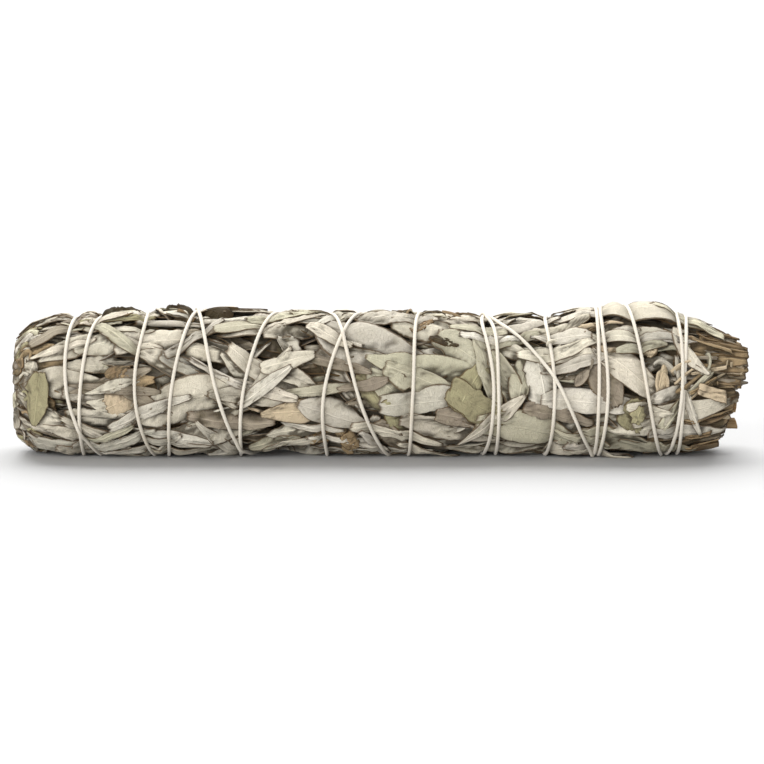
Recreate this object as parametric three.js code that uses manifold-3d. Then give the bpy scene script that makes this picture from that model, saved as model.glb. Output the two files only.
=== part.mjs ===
// A bunch of dried white sage, bound with cotton twine and lying on its side. Millimetres.
// X runs along the bunch, with the cut stems at +X. The front faces -Y. Z is up, and the bunch lies on Z = 0.
// Six leafy stems and a middle stem make the bunch. Each leafy stem has a wedge of pressed leaves round it,
// with its own outer leaves laid over it one by one, each on top of what already lies there.
import * as THREE from 'three';
import { mergeVertices } from 'three/addons/utils/BufferGeometryUtils.js';
import Module from 'manifold-3d';

const wasm = await Module();
wasm.setup();

const LENGTH = 225;
const AXIS_HEIGHT = 21.3; // the underside is pressed flat a little
const LEAFY_STEMS = 6;
const LEAF_THICKNESS = 0.66;
const LEAF_LAYERS = 3.3; // depth of the outer leaves over the pressed wedges
const ROOT_SINK = 1.2; // a leaf's root goes this far into the pressed wedge
const CLEAR = 0.4; // a leaf lies this far over what is under it
const PROUD = 0.1; // the furthest that a leaf may stand out of the outline
const GAP = 0.32; // clear space between two pieces
const WEDGE = { from: -105, to: 99, inner: 2.9 };
const STEM = { radius: 1.9, out: 12.2, from: -70, shortest: 104, longest: 111 };
const MIDDLE_STEM = { radius: 2.3, from: -85, to: 107 };
const TWINE_RADIUS = 0.58;
const TWINE_SIDES = 4;
const STRAND_PITCH = 1.25; // a strand that crosses another one climbs this much
const STRAND_DIP = 0.12; // how much it sinks into a hollow for each small step along it
const STRAND_BOW = 0.3; // how far its corners stand out, as it is made of straight steps
const TWINE_ROOM = 2 * TWINE_RADIUS + GAP + 0.2; // between the leaves and what the bunch lies on
const KNOT = { along: 93.5, radius: 1.4, tail: 8 };

// Where the outline lies above and below the axis, as [along, radius].
const TOP_OUTLINE = [
  [-112.5, 13], [-108, 17], [-100, 19.2], [-85, 20.2], [-70, 21.2], [-30, 21.4], [5, 21.6], [18, 21],
  [35, 19.6], [55, 19.8], [62, 22.3], [72, 23.4], [84, 23.2], [92, 21], [98, 18.5], [106, 16], [112.5, 14],
];
const UNDER_OUTLINE = [
  [-112.5, 15], [-106, 20], [-95, 21.7], [-45, 21.9], [-30, 19.6], [-18, 21.4], [60, 21.8], [75, 22],
  [92, 20.8], [104, 18.6], [108, 15.5], [112.5, 13],
];

// The photograph's frame, for what is placed by eye in it.
const MM_PER_PX = LENGTH / 729;
const MIDDLE_PX = 383.5;
const AXIS_PY = 384;
const SHOWN_RADIUS = 21.5;
const NEAR_SIDE = 1.018; // the front is this much nearer, so it looks larger
const LOOKS_DOWN = 8; // degrees

const DEG = Math.PI / 180;
const TURN = Math.PI * 2;
const mix = (a, b, t) => a + (b - a) * t;
const clamp = (v, low, high) => Math.min(Math.max(v, low), high);
const smooth = (t) => clamp(t, 0, 1) ** 2 * (3 - 2 * clamp(t, 0, 1));

// A seeded draw from 0 to 1.
function seeded(seed) {
  let state = seed >>> 0;
  return () => {
    state = (state + 0x6d2b79f5) >>> 0;
    let t = Math.imul(state ^ (state >>> 15), state | 1);
    t = (t + Math.imul(t ^ (t >>> 7), t | 61)) ^ t;
    return ((t ^ (t >>> 14)) >>> 0) / 4294967296;
  };
}

function along(outline, x) {
  const next = outline.findIndex(([at]) => at >= x);
  if (next < 0) return outline[outline.length - 1][1];
  if (next === 0) return outline[0][1];
  const [[x0, r0], [x1, r1]] = [outline[next - 1], outline[next]];
  return mix(r0, r1, (x - x0) / (x1 - x0));
}

// Angles run from the front up over the top: 0 faces the front, 90 degrees is the top.
function outlineRadius(x, angle) {
  const up = (1 + Math.sin(angle)) / 2;
  const ripple = 0.35 * Math.sin(3 * angle + x * 0.05) + 0.25 * Math.sin(5 * angle - x * 0.09 + 1);
  return mix(along(UNDER_OUTLINE, x), along(TOP_OUTLINE, x), up) + ripple;
}

function floorRadius(angle, clear = 0) {
  const down = -Math.sin(angle);
  return down > 0.05 ? (AXIS_HEIGHT - clear) / down : Infinity;
}

function place(x, angle, radius) {
  return new THREE.Vector3(x, -radius * Math.cos(angle), AXIS_HEIGHT + radius * Math.sin(angle));
}

// Solids

function solidOf(geometry) {
  const bare = geometry.index ? geometry.toNonIndexed() : geometry.clone();
  bare.deleteAttribute('normal');
  bare.deleteAttribute('uv');
  const merged = mergeVertices(bare, 1e-4);
  return new wasm.Manifold(new wasm.Mesh({
    numProp: 3,
    vertProperties: merged.attributes.position.array,
    triVerts: new Uint32Array(merged.index.array),
  }));
}

// A box whose corners (u, v, w), each from 0 to 1, are moved to where shape(u, v, w) puts them.
function bent(segmentsAlong, segmentsAcross, shape) {
  const box = new THREE.BoxGeometry(1, 1, 1, segmentsAlong, segmentsAcross, 1);
  const at = box.attributes.position;
  for (let i = 0; i < at.count; i += 1) {
    const p = shape(at.getX(i) + 0.5, at.getY(i) + 0.5, at.getZ(i) + 0.5);
    at.setXYZ(i, p.x, p.y, p.z);
  }
  return solidOf(box);
}

function touches(a, b) {
  const [p, q] = [a.boundingBox(), b.boundingBox()];
  return [0, 1, 2].every((k) => p.min[k] < q.max[k] && q.min[k] < p.max[k]);
}

function biggestBody(solid) {
  const bodies = solid.decompose();
  return bodies.reduce((best, body) => (body.volume() > best.volume() ? body : best), bodies[0]);
}

// The radius that the laid leaves have reached so far, on a grid round the bunch

const CELL = { along: 1.6, angle: 3.75 * DEG, columns: 146, rows: 96 };

class Reach {
  constructor() {
    this.radius = new Float32Array(CELL.columns * CELL.rows);
    for (let c = 0; c < CELL.columns; c += 1) {
      for (let r = 0; r < CELL.rows; r += 1) {
        this.radius[c * CELL.rows + r] = outlineRadius(this.x(c), r * CELL.angle) - LEAF_LAYERS;
      }
    }
  }

  x(column) {
    return (column - CELL.columns / 2) * CELL.along;
  }

  cell(x, angle) {
    const column = clamp(Math.round(x / CELL.along + CELL.columns / 2), 0, CELL.columns - 1);
    const row = Math.round((((angle % TURN) + TURN) % TURN) / CELL.angle) % CELL.rows;
    return column * CELL.rows + row;
  }

  at(x, angle) {
    return this.radius[this.cell(x, angle)];
  }

  // The most that is reached within a little way of a point.
  most(x, angle, wayAlong, wayRound) {
    let most = 0;
    for (const dx of [-wayAlong, 0, wayAlong]) {
      for (const da of [-wayRound, 0, wayRound]) most = Math.max(most, this.at(x + dx, angle + da));
    }
    return most;
  }

  raise(x, angle, radius) {
    const cell = this.cell(x, angle);
    this.radius[cell] = Math.max(this.radius[cell], radius);
  }
}

// Leaves. Where one is placed: its middle, length, width, and the turn of its tip from +X, anticlockwise
// as seen from outside.

const leaf = (x, angle, length, width, turn) => ({ x, angle, length, width, turn: turn * DEG });

// The same for a leaf placed by where its middle shows in the photograph.
function seen(px, py, length, width, turn) {
  const height = clamp(((AXIS_PY - py) * MM_PER_PX) / SHOWN_RADIUS, -0.999, 0.999);
  const near = mix(1, NEAR_SIDE, Math.sqrt(1 - height * height));
  const x = ((px - MIDDLE_PX) * MM_PER_PX) / near;
  return leaf(x, Math.asin(height) + LOOKS_DOWN * DEG, length, width, turn);
}

// The broad leaves that show on the front, in the order that they lie, from the stemless end to the cut
// stems.
const FRONT_LEAVES = [
  seen(60, 333, 30, 11, 178), seen(84, 365, 26, 11, 185), seen(54, 446, 34, 10, 178),
  seen(60, 419, 30, 11, 150), seen(74, 388, 32, 12, -8), seen(115, 418, 32, 11, -10),
  seen(68, 346, 26, 9, 205), seen(128, 436, 40, 9, -14), seen(34, 401, 22, 8, 190),
  seen(114, 341, 30, 11, 12), seen(160, 341, 30, 13, 8), seen(192, 378, 32, 9, -30),
  seen(187, 401, 40, 15, 200), seen(212, 430, 38, 11, 10), seen(222, 352, 28, 11, -6),
  seen(245, 321, 34, 10, 10), seen(297, 333, 32, 11, 12), seen(256, 394, 34, 10, 175),
  seen(282, 378, 38, 12, -27), seen(300, 425, 34, 12, 188), seen(343, 384, 30, 11, -60),
  seen(371, 437, 30, 12, 20), seen(430, 333, 36, 13, -3), seen(385, 352, 42, 16, -22),
  seen(392, 390, 28, 12, -40), seen(424, 369, 40, 14, 172), seen(449, 441, 36, 9, -4),
  seen(431, 404, 34, 11, 5), seen(466, 354, 28, 13, -40), seen(512, 385, 30, 11, -62),
  seen(520, 322, 30, 10, 15), seen(500, 443, 38, 10, -3), seen(530, 426, 40, 14, -14),
  seen(545, 388, 26, 12, -80), seen(572, 340, 30, 11, 4), seen(594, 402, 36, 11, -3),
  seen(637, 378, 38, 12, -38), seen(622, 347, 28, 10, -5), seen(631, 438, 38, 12, -16),
  seen(646, 316, 40, 15, -4), seen(684, 411, 30, 10, 6), seen(700, 434, 30, 8, -4),
  seen(712, 344, 27, 9, -6), seen(716, 376, 24, 9, 4),
];

// The leaves that the photograph doesn't show are laid in rows, jogged by a seeded draw.
const HIDDEN_ROWS = { angles: [114, 143, 172, 201, 232], step: 36, from: -90, seed: 4 };

function hiddenLeaves() {
  const draw = seeded(HIDDEN_ROWS.seed);
  return HIDDEN_ROWS.angles.flatMap((angle, row) => {
    const start = HIDDEN_ROWS.from + (row % 2) * (HIDDEN_ROWS.step / 2);
    return Array.from({ length: row % 2 ? 5 : 6 }, (_, i) => {
      const way = draw() < 0.4 ? 0 : 180;
      return leaf(
        start + i * HIDDEN_ROWS.step + (draw() - 0.5) * 8,
        (angle + (draw() - 0.5) * 8) * DEG,
        39 + draw() * 9,
        13.5 + draw() * 3,
        way + (draw() - 0.5) * 36,
      );
    });
  });
}

// The bunch rests on these, pressed flat between the strands of twine.
const PRESSED_LEAVES = [[-55, 17], [-27, 14], [-6, 16], [18, 17], [76, 14]];
const PRESSED = { width: 13, thickness: 1.3, trimmed: 0.3, sinks: 5 };

const STATIONS = [0, 0.34, 0.72, 1];
const HALF_WIDTHS = [0.5, 1, 0.84, 0.14];
const BROAD = 12; // leaves from this width on bend along their middle too
const SAMPLES = { along: 14, across: 6, passes: 10 };

// Works out where a leaf lies: a grid of stations along it by two or three places across it, lifted off what
// is already laid. The root goes down into the pressed wedge.
function lay(spec, reach) {
  const [c, s] = [Math.cos(spec.turn), Math.sin(spec.turn)];
  const middle = outlineRadius(spec.x, spec.angle);
  const sides = spec.width < BROAD ? [-1, 1] : [-1, 0, 1];
  const points = STATIONS.map((u, i) => sides.map((side) => {
    const [long, wide] = [(u - 0.5) * spec.length, side * HALF_WIDTHS[i] * spec.width * 0.5];
    const x = clamp(spec.x + long * c - wide * s, -LENGTH / 2, LENGTH / 2);
    const angle = spec.angle + (long * s + wide * c) / middle;
    const sunk = i === 0 ? -ROOT_SINK : CLEAR;
    return { x, angle, radius: outlineRadius(x, angle) - LEAF_LAYERS + sunk };
  }));
  const laid = { spec, points };
  for (let pass = 0; pass < SAMPLES.passes; pass += 1) liftOff(laid, reach);
  points.flat().forEach((p) => {
    const most = Math.min(outlineRadius(p.x, p.angle) + PROUD, floorRadius(p.angle, TWINE_ROOM));
    p.radius = Math.min(p.radius, most - LEAF_THICKNESS);
  });
  eachSample((u, v) => {
    const p = onLeaf(laid, u, v);
    reach.raise(p.x, p.angle, p.radius + LEAF_THICKNESS);
  });
  return laid;
}

function eachSample(visit) {
  for (let i = 0; i <= SAMPLES.along; i += 1) {
    for (let j = 0; j <= SAMPLES.across; j += 1) visit(i / SAMPLES.along, j / SAMPLES.across);
  }
}

function liftOff(laid, reach) {
  eachSample((u, v) => {
    if (u < STATIONS[1] * 0.6) return;
    const p = onLeaf(laid, u, v);
    const short = reach.most(p.x, p.angle, 0.8, 2 * DEG) + CLEAR - p.radius;
    if (short <= 0) return;
    const corners = cornersAt(laid, u, v).filter(({ corner }) => !laid.points[0].includes(corner));
    const total = corners.reduce((sum, { weight }) => sum + weight * weight, 0);
    corners.forEach(({ corner, weight }) => {
      corner.radius += (short * weight) / Math.max(total, 0.2);
    });
  });
}

// The four grid places round a point of a leaf, with how much each of them counts there.
function cornersAt(laid, u, v) {
  const next = clamp(STATIONS.findIndex((at) => at >= u), 1, STATIONS.length - 1);
  const t = (u - STATIONS[next - 1]) / (STATIONS[next] - STATIONS[next - 1]);
  const lanes = laid.points[0].length - 1;
  const low = Math.min(Math.floor(v * lanes), lanes - 1);
  const across = v * lanes - low;
  return [[next - 1, 1 - t], [next, t]].flatMap(([i, share]) => [
    { corner: laid.points[i][low], weight: share * (1 - across) },
    { corner: laid.points[i][low + 1], weight: share * across },
  ]);
}

function onLeaf(laid, u, v) {
  const at = new THREE.Vector3();
  cornersAt(laid, u, v).forEach(({ corner, weight }) => {
    at.addScaledVector(place(corner.x, corner.angle, corner.radius), weight);
  });
  const up = at.z - AXIS_HEIGHT;
  return { x: at.x, angle: Math.atan2(up, -at.y), radius: Math.hypot(at.y, up) };
}

// A laid leaf as a solid. With spare it is that much larger all round, to cut room for it.
function blade(laid, spare = 0) {
  const { spec } = laid;
  const [c, s] = [Math.cos(spec.turn), Math.sin(spec.turn)];
  const lanes = laid.points[0].length - 1;
  return bent(STATIONS.length - 1, lanes, (u, v, w) => {
    const p = laid.points[Math.round(u * (STATIONS.length - 1))][Math.round(v * lanes)];
    const outLong = (u === 0 ? -1 : u === 1 ? 1 : 0) * spare * 1.6;
    const outWide = (v * 2 - 1) * spare * 1.6;
    const radius = p.radius + (w > 0.5 ? LEAF_THICKNESS + spare : -spare);
    return place(p.x + outLong * c - outWide * s, p.angle + (outLong * s + outWide * c) / p.radius, radius);
  });
}

// A short leaf pressed flat against the surface that the bunch lies on. Both its ends go down into the wedge.
function pressedLeaf([x, length]) {
  return bent(4, 2, (u, v, w) => {
    const bow = Math.sin(u * Math.PI) ** 0.6;
    const off = ((v - 0.5) * PRESSED.width * (0.6 + 0.4 * bow)) / AXIS_HEIGHT;
    const outer = (AXIS_HEIGHT + PRESSED.trimmed - PRESSED.sinks * (1 - bow)) / Math.cos(off);
    return place(x + (u - 0.5) * length, off - 90 * DEG, w > 0.5 ? outer : outer - PRESSED.thickness);
  });
}

// Leafy stems

const share = TURN / LEAFY_STEMS;
const middleOf = (k) => -90 * DEG + k * share;

function ownerOf(angle) {
  const nearest = Math.round((angle - middleOf(0)) / share);
  return ((nearest % LEAFY_STEMS) + LEAFY_STEMS) % LEAFY_STEMS;
}

function wedge(k) {
  return bent(9, 2, (u, v, w) => {
    const x = mix(WEDGE.from, WEDGE.to, u);
    const inset = (radius) => Math.asin(Math.min(0.5, (GAP / 2) / radius));
    const at = (radius) => middleOf(k) + (v - 0.5) * (share - 2 * inset(radius));
    const outer = outlineRadius(x, at(20)) - LEAF_LAYERS;
    return w < 0.5 ? place(x, at(WEDGE.inner), WEDGE.inner) : place(x, at(outer), outer);
  });
}

// Short strips of rolled leaf that stand out of both ends of a wedge, one behind another.
function endStrips(k) {
  const draw = seeded(70 + k);
  return [-1, 1].flatMap((end) => [8.6, 16.6].map((out) => {
    const face = end < 0 ? WEDGE.from : WEDGE.to;
    const reachOut = face + end * (end < 0 ? 2 + draw() * 4.5 : 4 + draw() * 8.5);
    const half = share * (0.22 + draw() * 0.2) * Math.min(1, out / 9);
    const off = (draw() - 0.5) * (share * 0.86 - 2 * half);
    const wave = (draw() - 0.5) * 1.4;
    return bent(1, 2, (u, v, w) => {
      const x = end < 0 ? mix(reachOut, face + 7, u) : mix(face - 7, reachOut, u);
      const bow = wave * (1 - Math.abs(v * 2 - 1));
      return place(x, middleOf(k) + off + (v * 2 - 1) * half, out + bow + (w > 0.5 ? LEAF_THICKNESS : 0));
    });
  }));
}

function stemLine(k) {
  const draw = seeded(30 + k);
  const end = mix(STEM.shortest, STEM.longest, draw());
  return { end, angle: middleOf(k) + (draw() - 0.5) * 0.2, radius: STEM.radius * (0.8 + draw() * 0.3) };
}

function rod(from, to, radius, angle, out) {
  const cylinder = new THREE.CylinderGeometry(radius, radius, to - from, 8);
  cylinder.rotateZ(-Math.PI / 2);
  const middle = place((from + to) / 2, angle, out);
  cylinder.translate(middle.x, middle.y, middle.z);
  return solidOf(cylinder);
}

// Twine

// How the twine crosses the front: where it is on the top edge, at the middle and under the bunch, in the
// photograph. First the turns of the way to the stemless end, then those of the way back.
function crossing(topPx, middlePx, underPx) {
  return [topPx, MIDDLE_PX + (middlePx - MIDDLE_PX) / NEAR_SIDE, underPx];
}

const TWINE_OUT = [
  crossing(687, 686, 678), crossing(677, 684, 662), crossing(602, 610, 597), crossing(597, 601, 592),
  crossing(547, 557, 543), crossing(484, 496, 481), crossing(421, 415, 408), crossing(361, 326, 329),
  crossing(277, 245, 242), crossing(199, 173, 169), crossing(104, 82, 87),
];
const TWINE_BACK = [
  crossing(77, 69, 112), crossing(151, 137, 164), crossing(201, 219, 262), crossing(334, 360, 401),
  crossing(490, 501, 497), crossing(495, 566, 602), crossing(627, 650, 667),
];
const FINE_STEP = 6; // degrees
const PLAIN_STEP = 24;

// The twine's place along the bunch at each quarter turn, starting and ending at the knot on the back.
function quarters() {
  const turns = [...TWINE_OUT, ...TWINE_BACK].map((turn) => turn.map((px) => (px - MIDDLE_PX) * MM_PER_PX));
  const places = [KNOT.along + 0.6];
  turns.forEach(([top, middle, under], i) => {
    places.push(top, middle, under);
    places.push(i + 1 < turns.length ? (under + turns[i + 1][0]) / 2 : KNOT.along - 0.6);
  });
  return places;
}

// A smooth line through the places.
function through(places, q) {
  const last = places.length - 1;
  const n = Math.min(Math.floor(q), last - 1);
  const before = places[Math.max(n - 1, 0)];
  const [start, end] = [places[n], places[n + 1]];
  const after = places[Math.min(n + 2, last)];
  const t = q - n;
  const slope = end - before;
  const bow = 2 * before - 5 * start + 4 * end - after;
  const swing = 3 * start - before - 3 * end + after;
  return start + 0.5 * (slope * t + bow * t * t + swing * t ** 3);
}

function twineRoute(reach) {
  const places = quarters();
  const last = places.length - 1;
  const steps = (last * 90) / FINE_STEP;
  const route = [];
  for (let i = 0; i <= steps; i += 1) {
    route.push({ x: through(places, (i * FINE_STEP) / 90), angle: Math.PI - i * FINE_STEP * DEG });
  }
  route.forEach((p) => {
    p.under = 0;
    p.over = 0;
    p.rests = reach.most(p.x, p.angle, 0.9, 2 * DEG) + GAP + TWINE_RADIUS;
  });
  route.forEach((p, i) => {
    const near = [-4, -3, -2, -1, 0, 1, 2, 3, 4];
    const rests = near.map((n) => (route[i + n] ?? p).rests - Math.abs(n) * STRAND_DIP);
    p.radius = Math.max(...rests) + STRAND_BOW;
  });
  crossOver(route);
  const every = PLAIN_STEP / FINE_STEP;
  const crest = (i) => route[i].over > 0.5 && route[i].over >= Math.max(route[i - 1].over, route[i + 1].over);
  const kept = route.filter((_, i) => i % every === 0 || i === route.length - 1 || (i % 2 === 0 && crest(i)));
  kept.forEach((p) => {
    const most = floorRadius(p.angle, TWINE_RADIUS + 0.06) - p.under * (1 - p.over) * STRAND_PITCH;
    p.radius = Math.min(p.radius + p.over * STRAND_PITCH, most);
  });
  return kept;
}

// Marks where a strand lies over an earlier one, and where a later one lies over it.
function crossOver(route) {
  const turn = 360 / FINE_STEP;
  route.forEach((later, j) => {
    for (let turns = 1; turns * turn <= j + 1; turns += 1) {
      for (let near = -1; near <= 1; near += 1) {
        const earlier = route[j - turns * turn + near];
        if (!earlier) continue;
        const distance = Math.hypot(later.x - earlier.x, near * FINE_STEP * DEG * later.rests);
        const share = 1 - smooth((distance - 1) / 2);
        later.over = Math.max(later.over, share);
        earlier.under = Math.max(earlier.under, share);
      }
    }
  });
}

// Part of the twine's route as a curve with one ring at each of its points, turned the same way at each.
class Strand extends THREE.Curve {
  constructor(points, from, to) {
    super();
    Object.assign(this, { points, from, to });
  }

  getPoint(t) {
    return this.points[this.from + Math.round(t * (this.to - this.from))].clone();
  }

  getPointAt(t) {
    return this.getPoint(t);
  }

  computeFrenetFrames() {
    const frames = { tangents: [], normals: [], binormals: [] };
    for (let i = this.from; i <= this.to; i += 1) {
      const [a, b] = [this.points[Math.max(i - 1, 0)], this.points[Math.min(i + 1, this.points.length - 1)]];
      const tangent = b.clone().sub(a).normalize();
      const outward = new THREE.Vector3(0, this.points[i].y, this.points[i].z - AXIS_HEIGHT);
      const normal = outward.addScaledVector(tangent, -outward.dot(tangent)).normalize();
      frames.tangents.push(tangent);
      frames.normals.push(normal);
      frames.binormals.push(tangent.clone().cross(normal));
    }
    return frames;
  }
}

function tube(points, radius, from = 0, to = points.length - 1) {
  const section = new THREE.Shape();
  for (let i = 0; i < TWINE_SIDES; i += 1) {
    const around = (i / TWINE_SIDES) * TURN;
    const [y, z] = [radius * Math.cos(around), radius * Math.sin(around)];
    if (i === 0) section.moveTo(y, z);
    else section.lineTo(y, z);
  }
  section.closePath();
  const extrudePath = new Strand(points, from, to);
  return solidOf(new THREE.ExtrudeGeometry(section, { steps: to - from, extrudePath, bevelEnabled: false }));
}

// The same in short lengths that share their end rings.
function lengths(points, radius, stretch) {
  const tubes = [];
  for (let from = 0; from < points.length - 1; from += stretch) {
    tubes.push(tube(points, radius, from, Math.min(from + stretch, points.length - 1)));
  }
  return tubes;
}

function knotPlace(route) {
  return place(KNOT.along, Math.PI, (route[0].radius + route[route.length - 1].radius) / 2 + 0.5);
}

function tail(route, side) {
  const start = knotPlace(route);
  const way = new THREE.Vector3(side * 0.75, 0, -0.66);
  const points = [0, 0.35, 0.7, 1].map((t) => start.clone().addScaledVector(way, t * KNOT.tail));
  points.forEach((p, i) => {
    const down = (p.z - AXIS_HEIGHT) / start.y;
    p.y = start.y * Math.sqrt(1 - down * down) + 0.15 * i;
  });
  return tube(points, TWINE_RADIUS);
}

function twine(route, points) {
  const knot = new THREE.TorusKnotGeometry(KNOT.radius, TWINE_RADIUS, 22, 4, 2, 3);
  knot.rotateX(Math.PI / 2);
  const at = knotPlace(route);
  knot.translate(at.x, at.y, at.z);
  const pieces = [...lengths(points, TWINE_RADIUS, 12), solidOf(knot), tail(route, -1), tail(route, 1)];
  return pieces.reduce((all, piece) => all.add(piece));
}

// Short lengths of a wider twine, and a ball round the knot, to cut room for it.
function twineRoom(route, points) {
  const cutters = lengths(points, TWINE_RADIUS + GAP, 8);
  const at = knotPlace(route);
  const ball = new THREE.SphereGeometry(KNOT.radius * 1.5 + TWINE_RADIUS + GAP, 8, 6);
  ball.translate(at.x, at.y, at.z);
  const wide = TWINE_RADIUS + GAP;
  cutters.push(solidOf(ball));
  [-1, 1].forEach((side) => {
    const line = new THREE.BoxGeometry(KNOT.tail * 1.1, wide * 2, wide * 2);
    line.rotateY(side * 42 * DEG);
    line.translate(at.x + side * KNOT.tail * 0.38, at.y, at.z - KNOT.tail * 0.34);
    cutters.push(solidOf(line));
  });
  return cutters;
}

// Assembly

const reach = new Reach();
const leaves = [...hiddenLeaves(), ...FRONT_LEAVES].map((spec) => lay(spec, reach));
leaves.forEach((laid, order) => {
  laid.order = order;
  laid.owner = ownerOf((laid.points[0][0].angle + laid.points[0][laid.points[0].length - 1].angle) / 2);
  laid.solid = blade(laid);
  laid.room = blade(laid, GAP);
});

const route = twineRoute(reach);
const points = route.map((p) => place(p.x, p.angle, p.radius));
const room = twineRoom(route, points);

function cutFor(solid, others) {
  return others.reduce((left, other) => (touches(left, other) ? left.subtract(other) : left), solid);
}

function leafyStem(k) {
  const others = leaves.filter((laid) => laid.owner !== k);
  const pressed = k === 0 ? PRESSED_LEAVES.map(pressedLeaf) : [];
  const parts = [wedge(k), ...endStrips(k), ...pressed];
  const cut = parts.map((part) => cutFor(part, others.map((laid) => laid.room)));
  let solid = cut.reduce((all, part) => all.add(part));
  leaves.filter((laid) => laid.owner === k).forEach((laid) => {
    const later = others.filter((other) => other.order > laid.order);
    solid = solid.add(cutFor(laid.solid, later.map((other) => other.room)));
  });
  const { end, angle, radius } = stemLine(k);
  solid = cutFor(solid, [rod(STEM.from - GAP, LENGTH, radius + GAP, angle, STEM.out)]);
  solid = cutFor(solid, room);
  return biggestBody(solid.trimByPlane([0, 0, 1], 0).trimByPlane([1, 0, 0], -LENGTH / 2));
}

const SILVER_GREENS = [0xb3ae9c, 0xb9b4a5, 0xaeab98, 0xbab6aa, 0xb5b09e, 0xa9a68f];
const bark = new THREE.MeshStandardMaterial({ color: 0x8d7653, roughness: 0.85, metalness: 0 });
const cotton = new THREE.MeshStandardMaterial({ color: 0xeae2d2, roughness: 0.9, metalness: 0 });

function named(name, solid, material) {
  const { vertProperties, numProp, triVerts } = solid.getMesh();
  const count = vertProperties.length / numProp;
  const at = new Float32Array(count * 3);
  for (let i = 0; i < count; i += 1) at.set(vertProperties.subarray(i * numProp, i * numProp + 3), i * 3);
  const geometry = new THREE.BufferGeometry();
  geometry.setAttribute('position', new THREE.BufferAttribute(at, 3));
  geometry.setIndex(new THREE.BufferAttribute(new Uint32Array(triVerts), 1));
  geometry.computeVertexNormals();
  const mesh = new THREE.Mesh(geometry, material);
  mesh.name = name;
  return mesh;
}

const sage = new THREE.Group();
for (let k = 0; k < LEAFY_STEMS; k += 1) {
  const green = new THREE.MeshStandardMaterial({ color: SILVER_GREENS[k], roughness: 0.95, metalness: 0 });
  const { end, angle, radius } = stemLine(k);
  sage.add(named(`leaves_${k + 1}`, leafyStem(k), green));
  sage.add(named(`stem_${k + 1}`, rod(STEM.from, end, radius, angle, STEM.out), bark));
}
sage.add(named('stem_middle', rod(MIDDLE_STEM.from, MIDDLE_STEM.to, MIDDLE_STEM.radius, 0, 0), bark));
sage.add(named('twine', twine(route, points), cotton));

export default sage;
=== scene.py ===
"""A bunch of dried white sage, bound with cotton twine, lying on a pale studio floor.

Lengths inside the shape functions are in millimetres, and the finished meshes are in metres. X runs along
the bunch with the cut stems at +X, the front faces -Y, and the bunch lies on Z = 0. Round the bunch, angle 0
faces the front and 90 degrees is the top.
"""

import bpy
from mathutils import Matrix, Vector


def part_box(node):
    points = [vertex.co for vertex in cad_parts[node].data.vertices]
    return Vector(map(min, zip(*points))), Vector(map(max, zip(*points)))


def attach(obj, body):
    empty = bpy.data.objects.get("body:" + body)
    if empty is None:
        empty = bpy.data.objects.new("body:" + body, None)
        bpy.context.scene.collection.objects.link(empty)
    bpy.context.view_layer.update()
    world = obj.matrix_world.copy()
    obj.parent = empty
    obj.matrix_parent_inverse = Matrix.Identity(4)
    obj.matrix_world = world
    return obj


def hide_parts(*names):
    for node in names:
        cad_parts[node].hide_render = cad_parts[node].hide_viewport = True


bl_info = {
    "name": "Sage Bunch",
    "version": (1, 0, 0),
    "blender": (4, 5, 0),
    "location": "View3D > Sidebar > Sage",
    "description": "Dresses the frame of a sage bunch with leaves, stems, rolled ends and twine",
    "category": "Object",
}

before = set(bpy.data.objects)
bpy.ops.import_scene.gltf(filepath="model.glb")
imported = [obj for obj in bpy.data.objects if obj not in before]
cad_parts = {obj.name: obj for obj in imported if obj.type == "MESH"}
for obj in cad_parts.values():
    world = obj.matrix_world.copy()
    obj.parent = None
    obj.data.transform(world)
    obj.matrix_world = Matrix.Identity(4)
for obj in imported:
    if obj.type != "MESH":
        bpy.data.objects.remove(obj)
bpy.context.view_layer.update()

import math

import bmesh
import bpy
import numpy as np
from bpy.props import FloatProperty, FloatVectorProperty, IntProperty, PointerProperty
from mathutils import Matrix, Vector

MM = 0.001
DEG = math.pi / 180
TURN = 2 * math.pi

# The bunch in mm, as in its solids. The outlines at its top and underneath are (along it, from its axis).
LENGTH = 225.0
HALF_LENGTH = LENGTH / 2
AXIS_HEIGHT = 21.3
MEAN_RADIUS = 21.5
LEAFY_STEMS = 6
TWINE_RADIUS = 0.58
KNOT_ALONG = 93.5
TOP_OUTLINE = [
    (-112.5, 13), (-108, 17), (-100, 19.2), (-85, 20.2), (-70, 21.2), (-30, 21.4), (5, 21.6), (18, 21),
    (35, 19.6), (55, 19.8), (62, 22.3), (72, 23.4), (84, 23.2), (92, 21), (98, 18.5), (106, 16), (112.5, 14),
]
UNDER_OUTLINE = [
    (-112.5, 15), (-106, 20), (-95, 21.7), (-45, 21.9), (-30, 19.6), (-18, 21.4), (60, 21.8), (75, 22),
    (92, 20.8), (104, 18.6), (108, 15.5), (112.5, 13),
]

# The photograph's frame, for what is placed in it: the bunch's length at its axis, and its middle
LENGTH_PX = 729
MM_PER_PX = LENGTH / LENGTH_PX
MIDDLE_PX = 383.5
AXIS_PY = 384
NEAR_SIDE = 1.018  # how much larger the front shows than the axis does
LOOKS_DOWN = 8  # degrees

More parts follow.
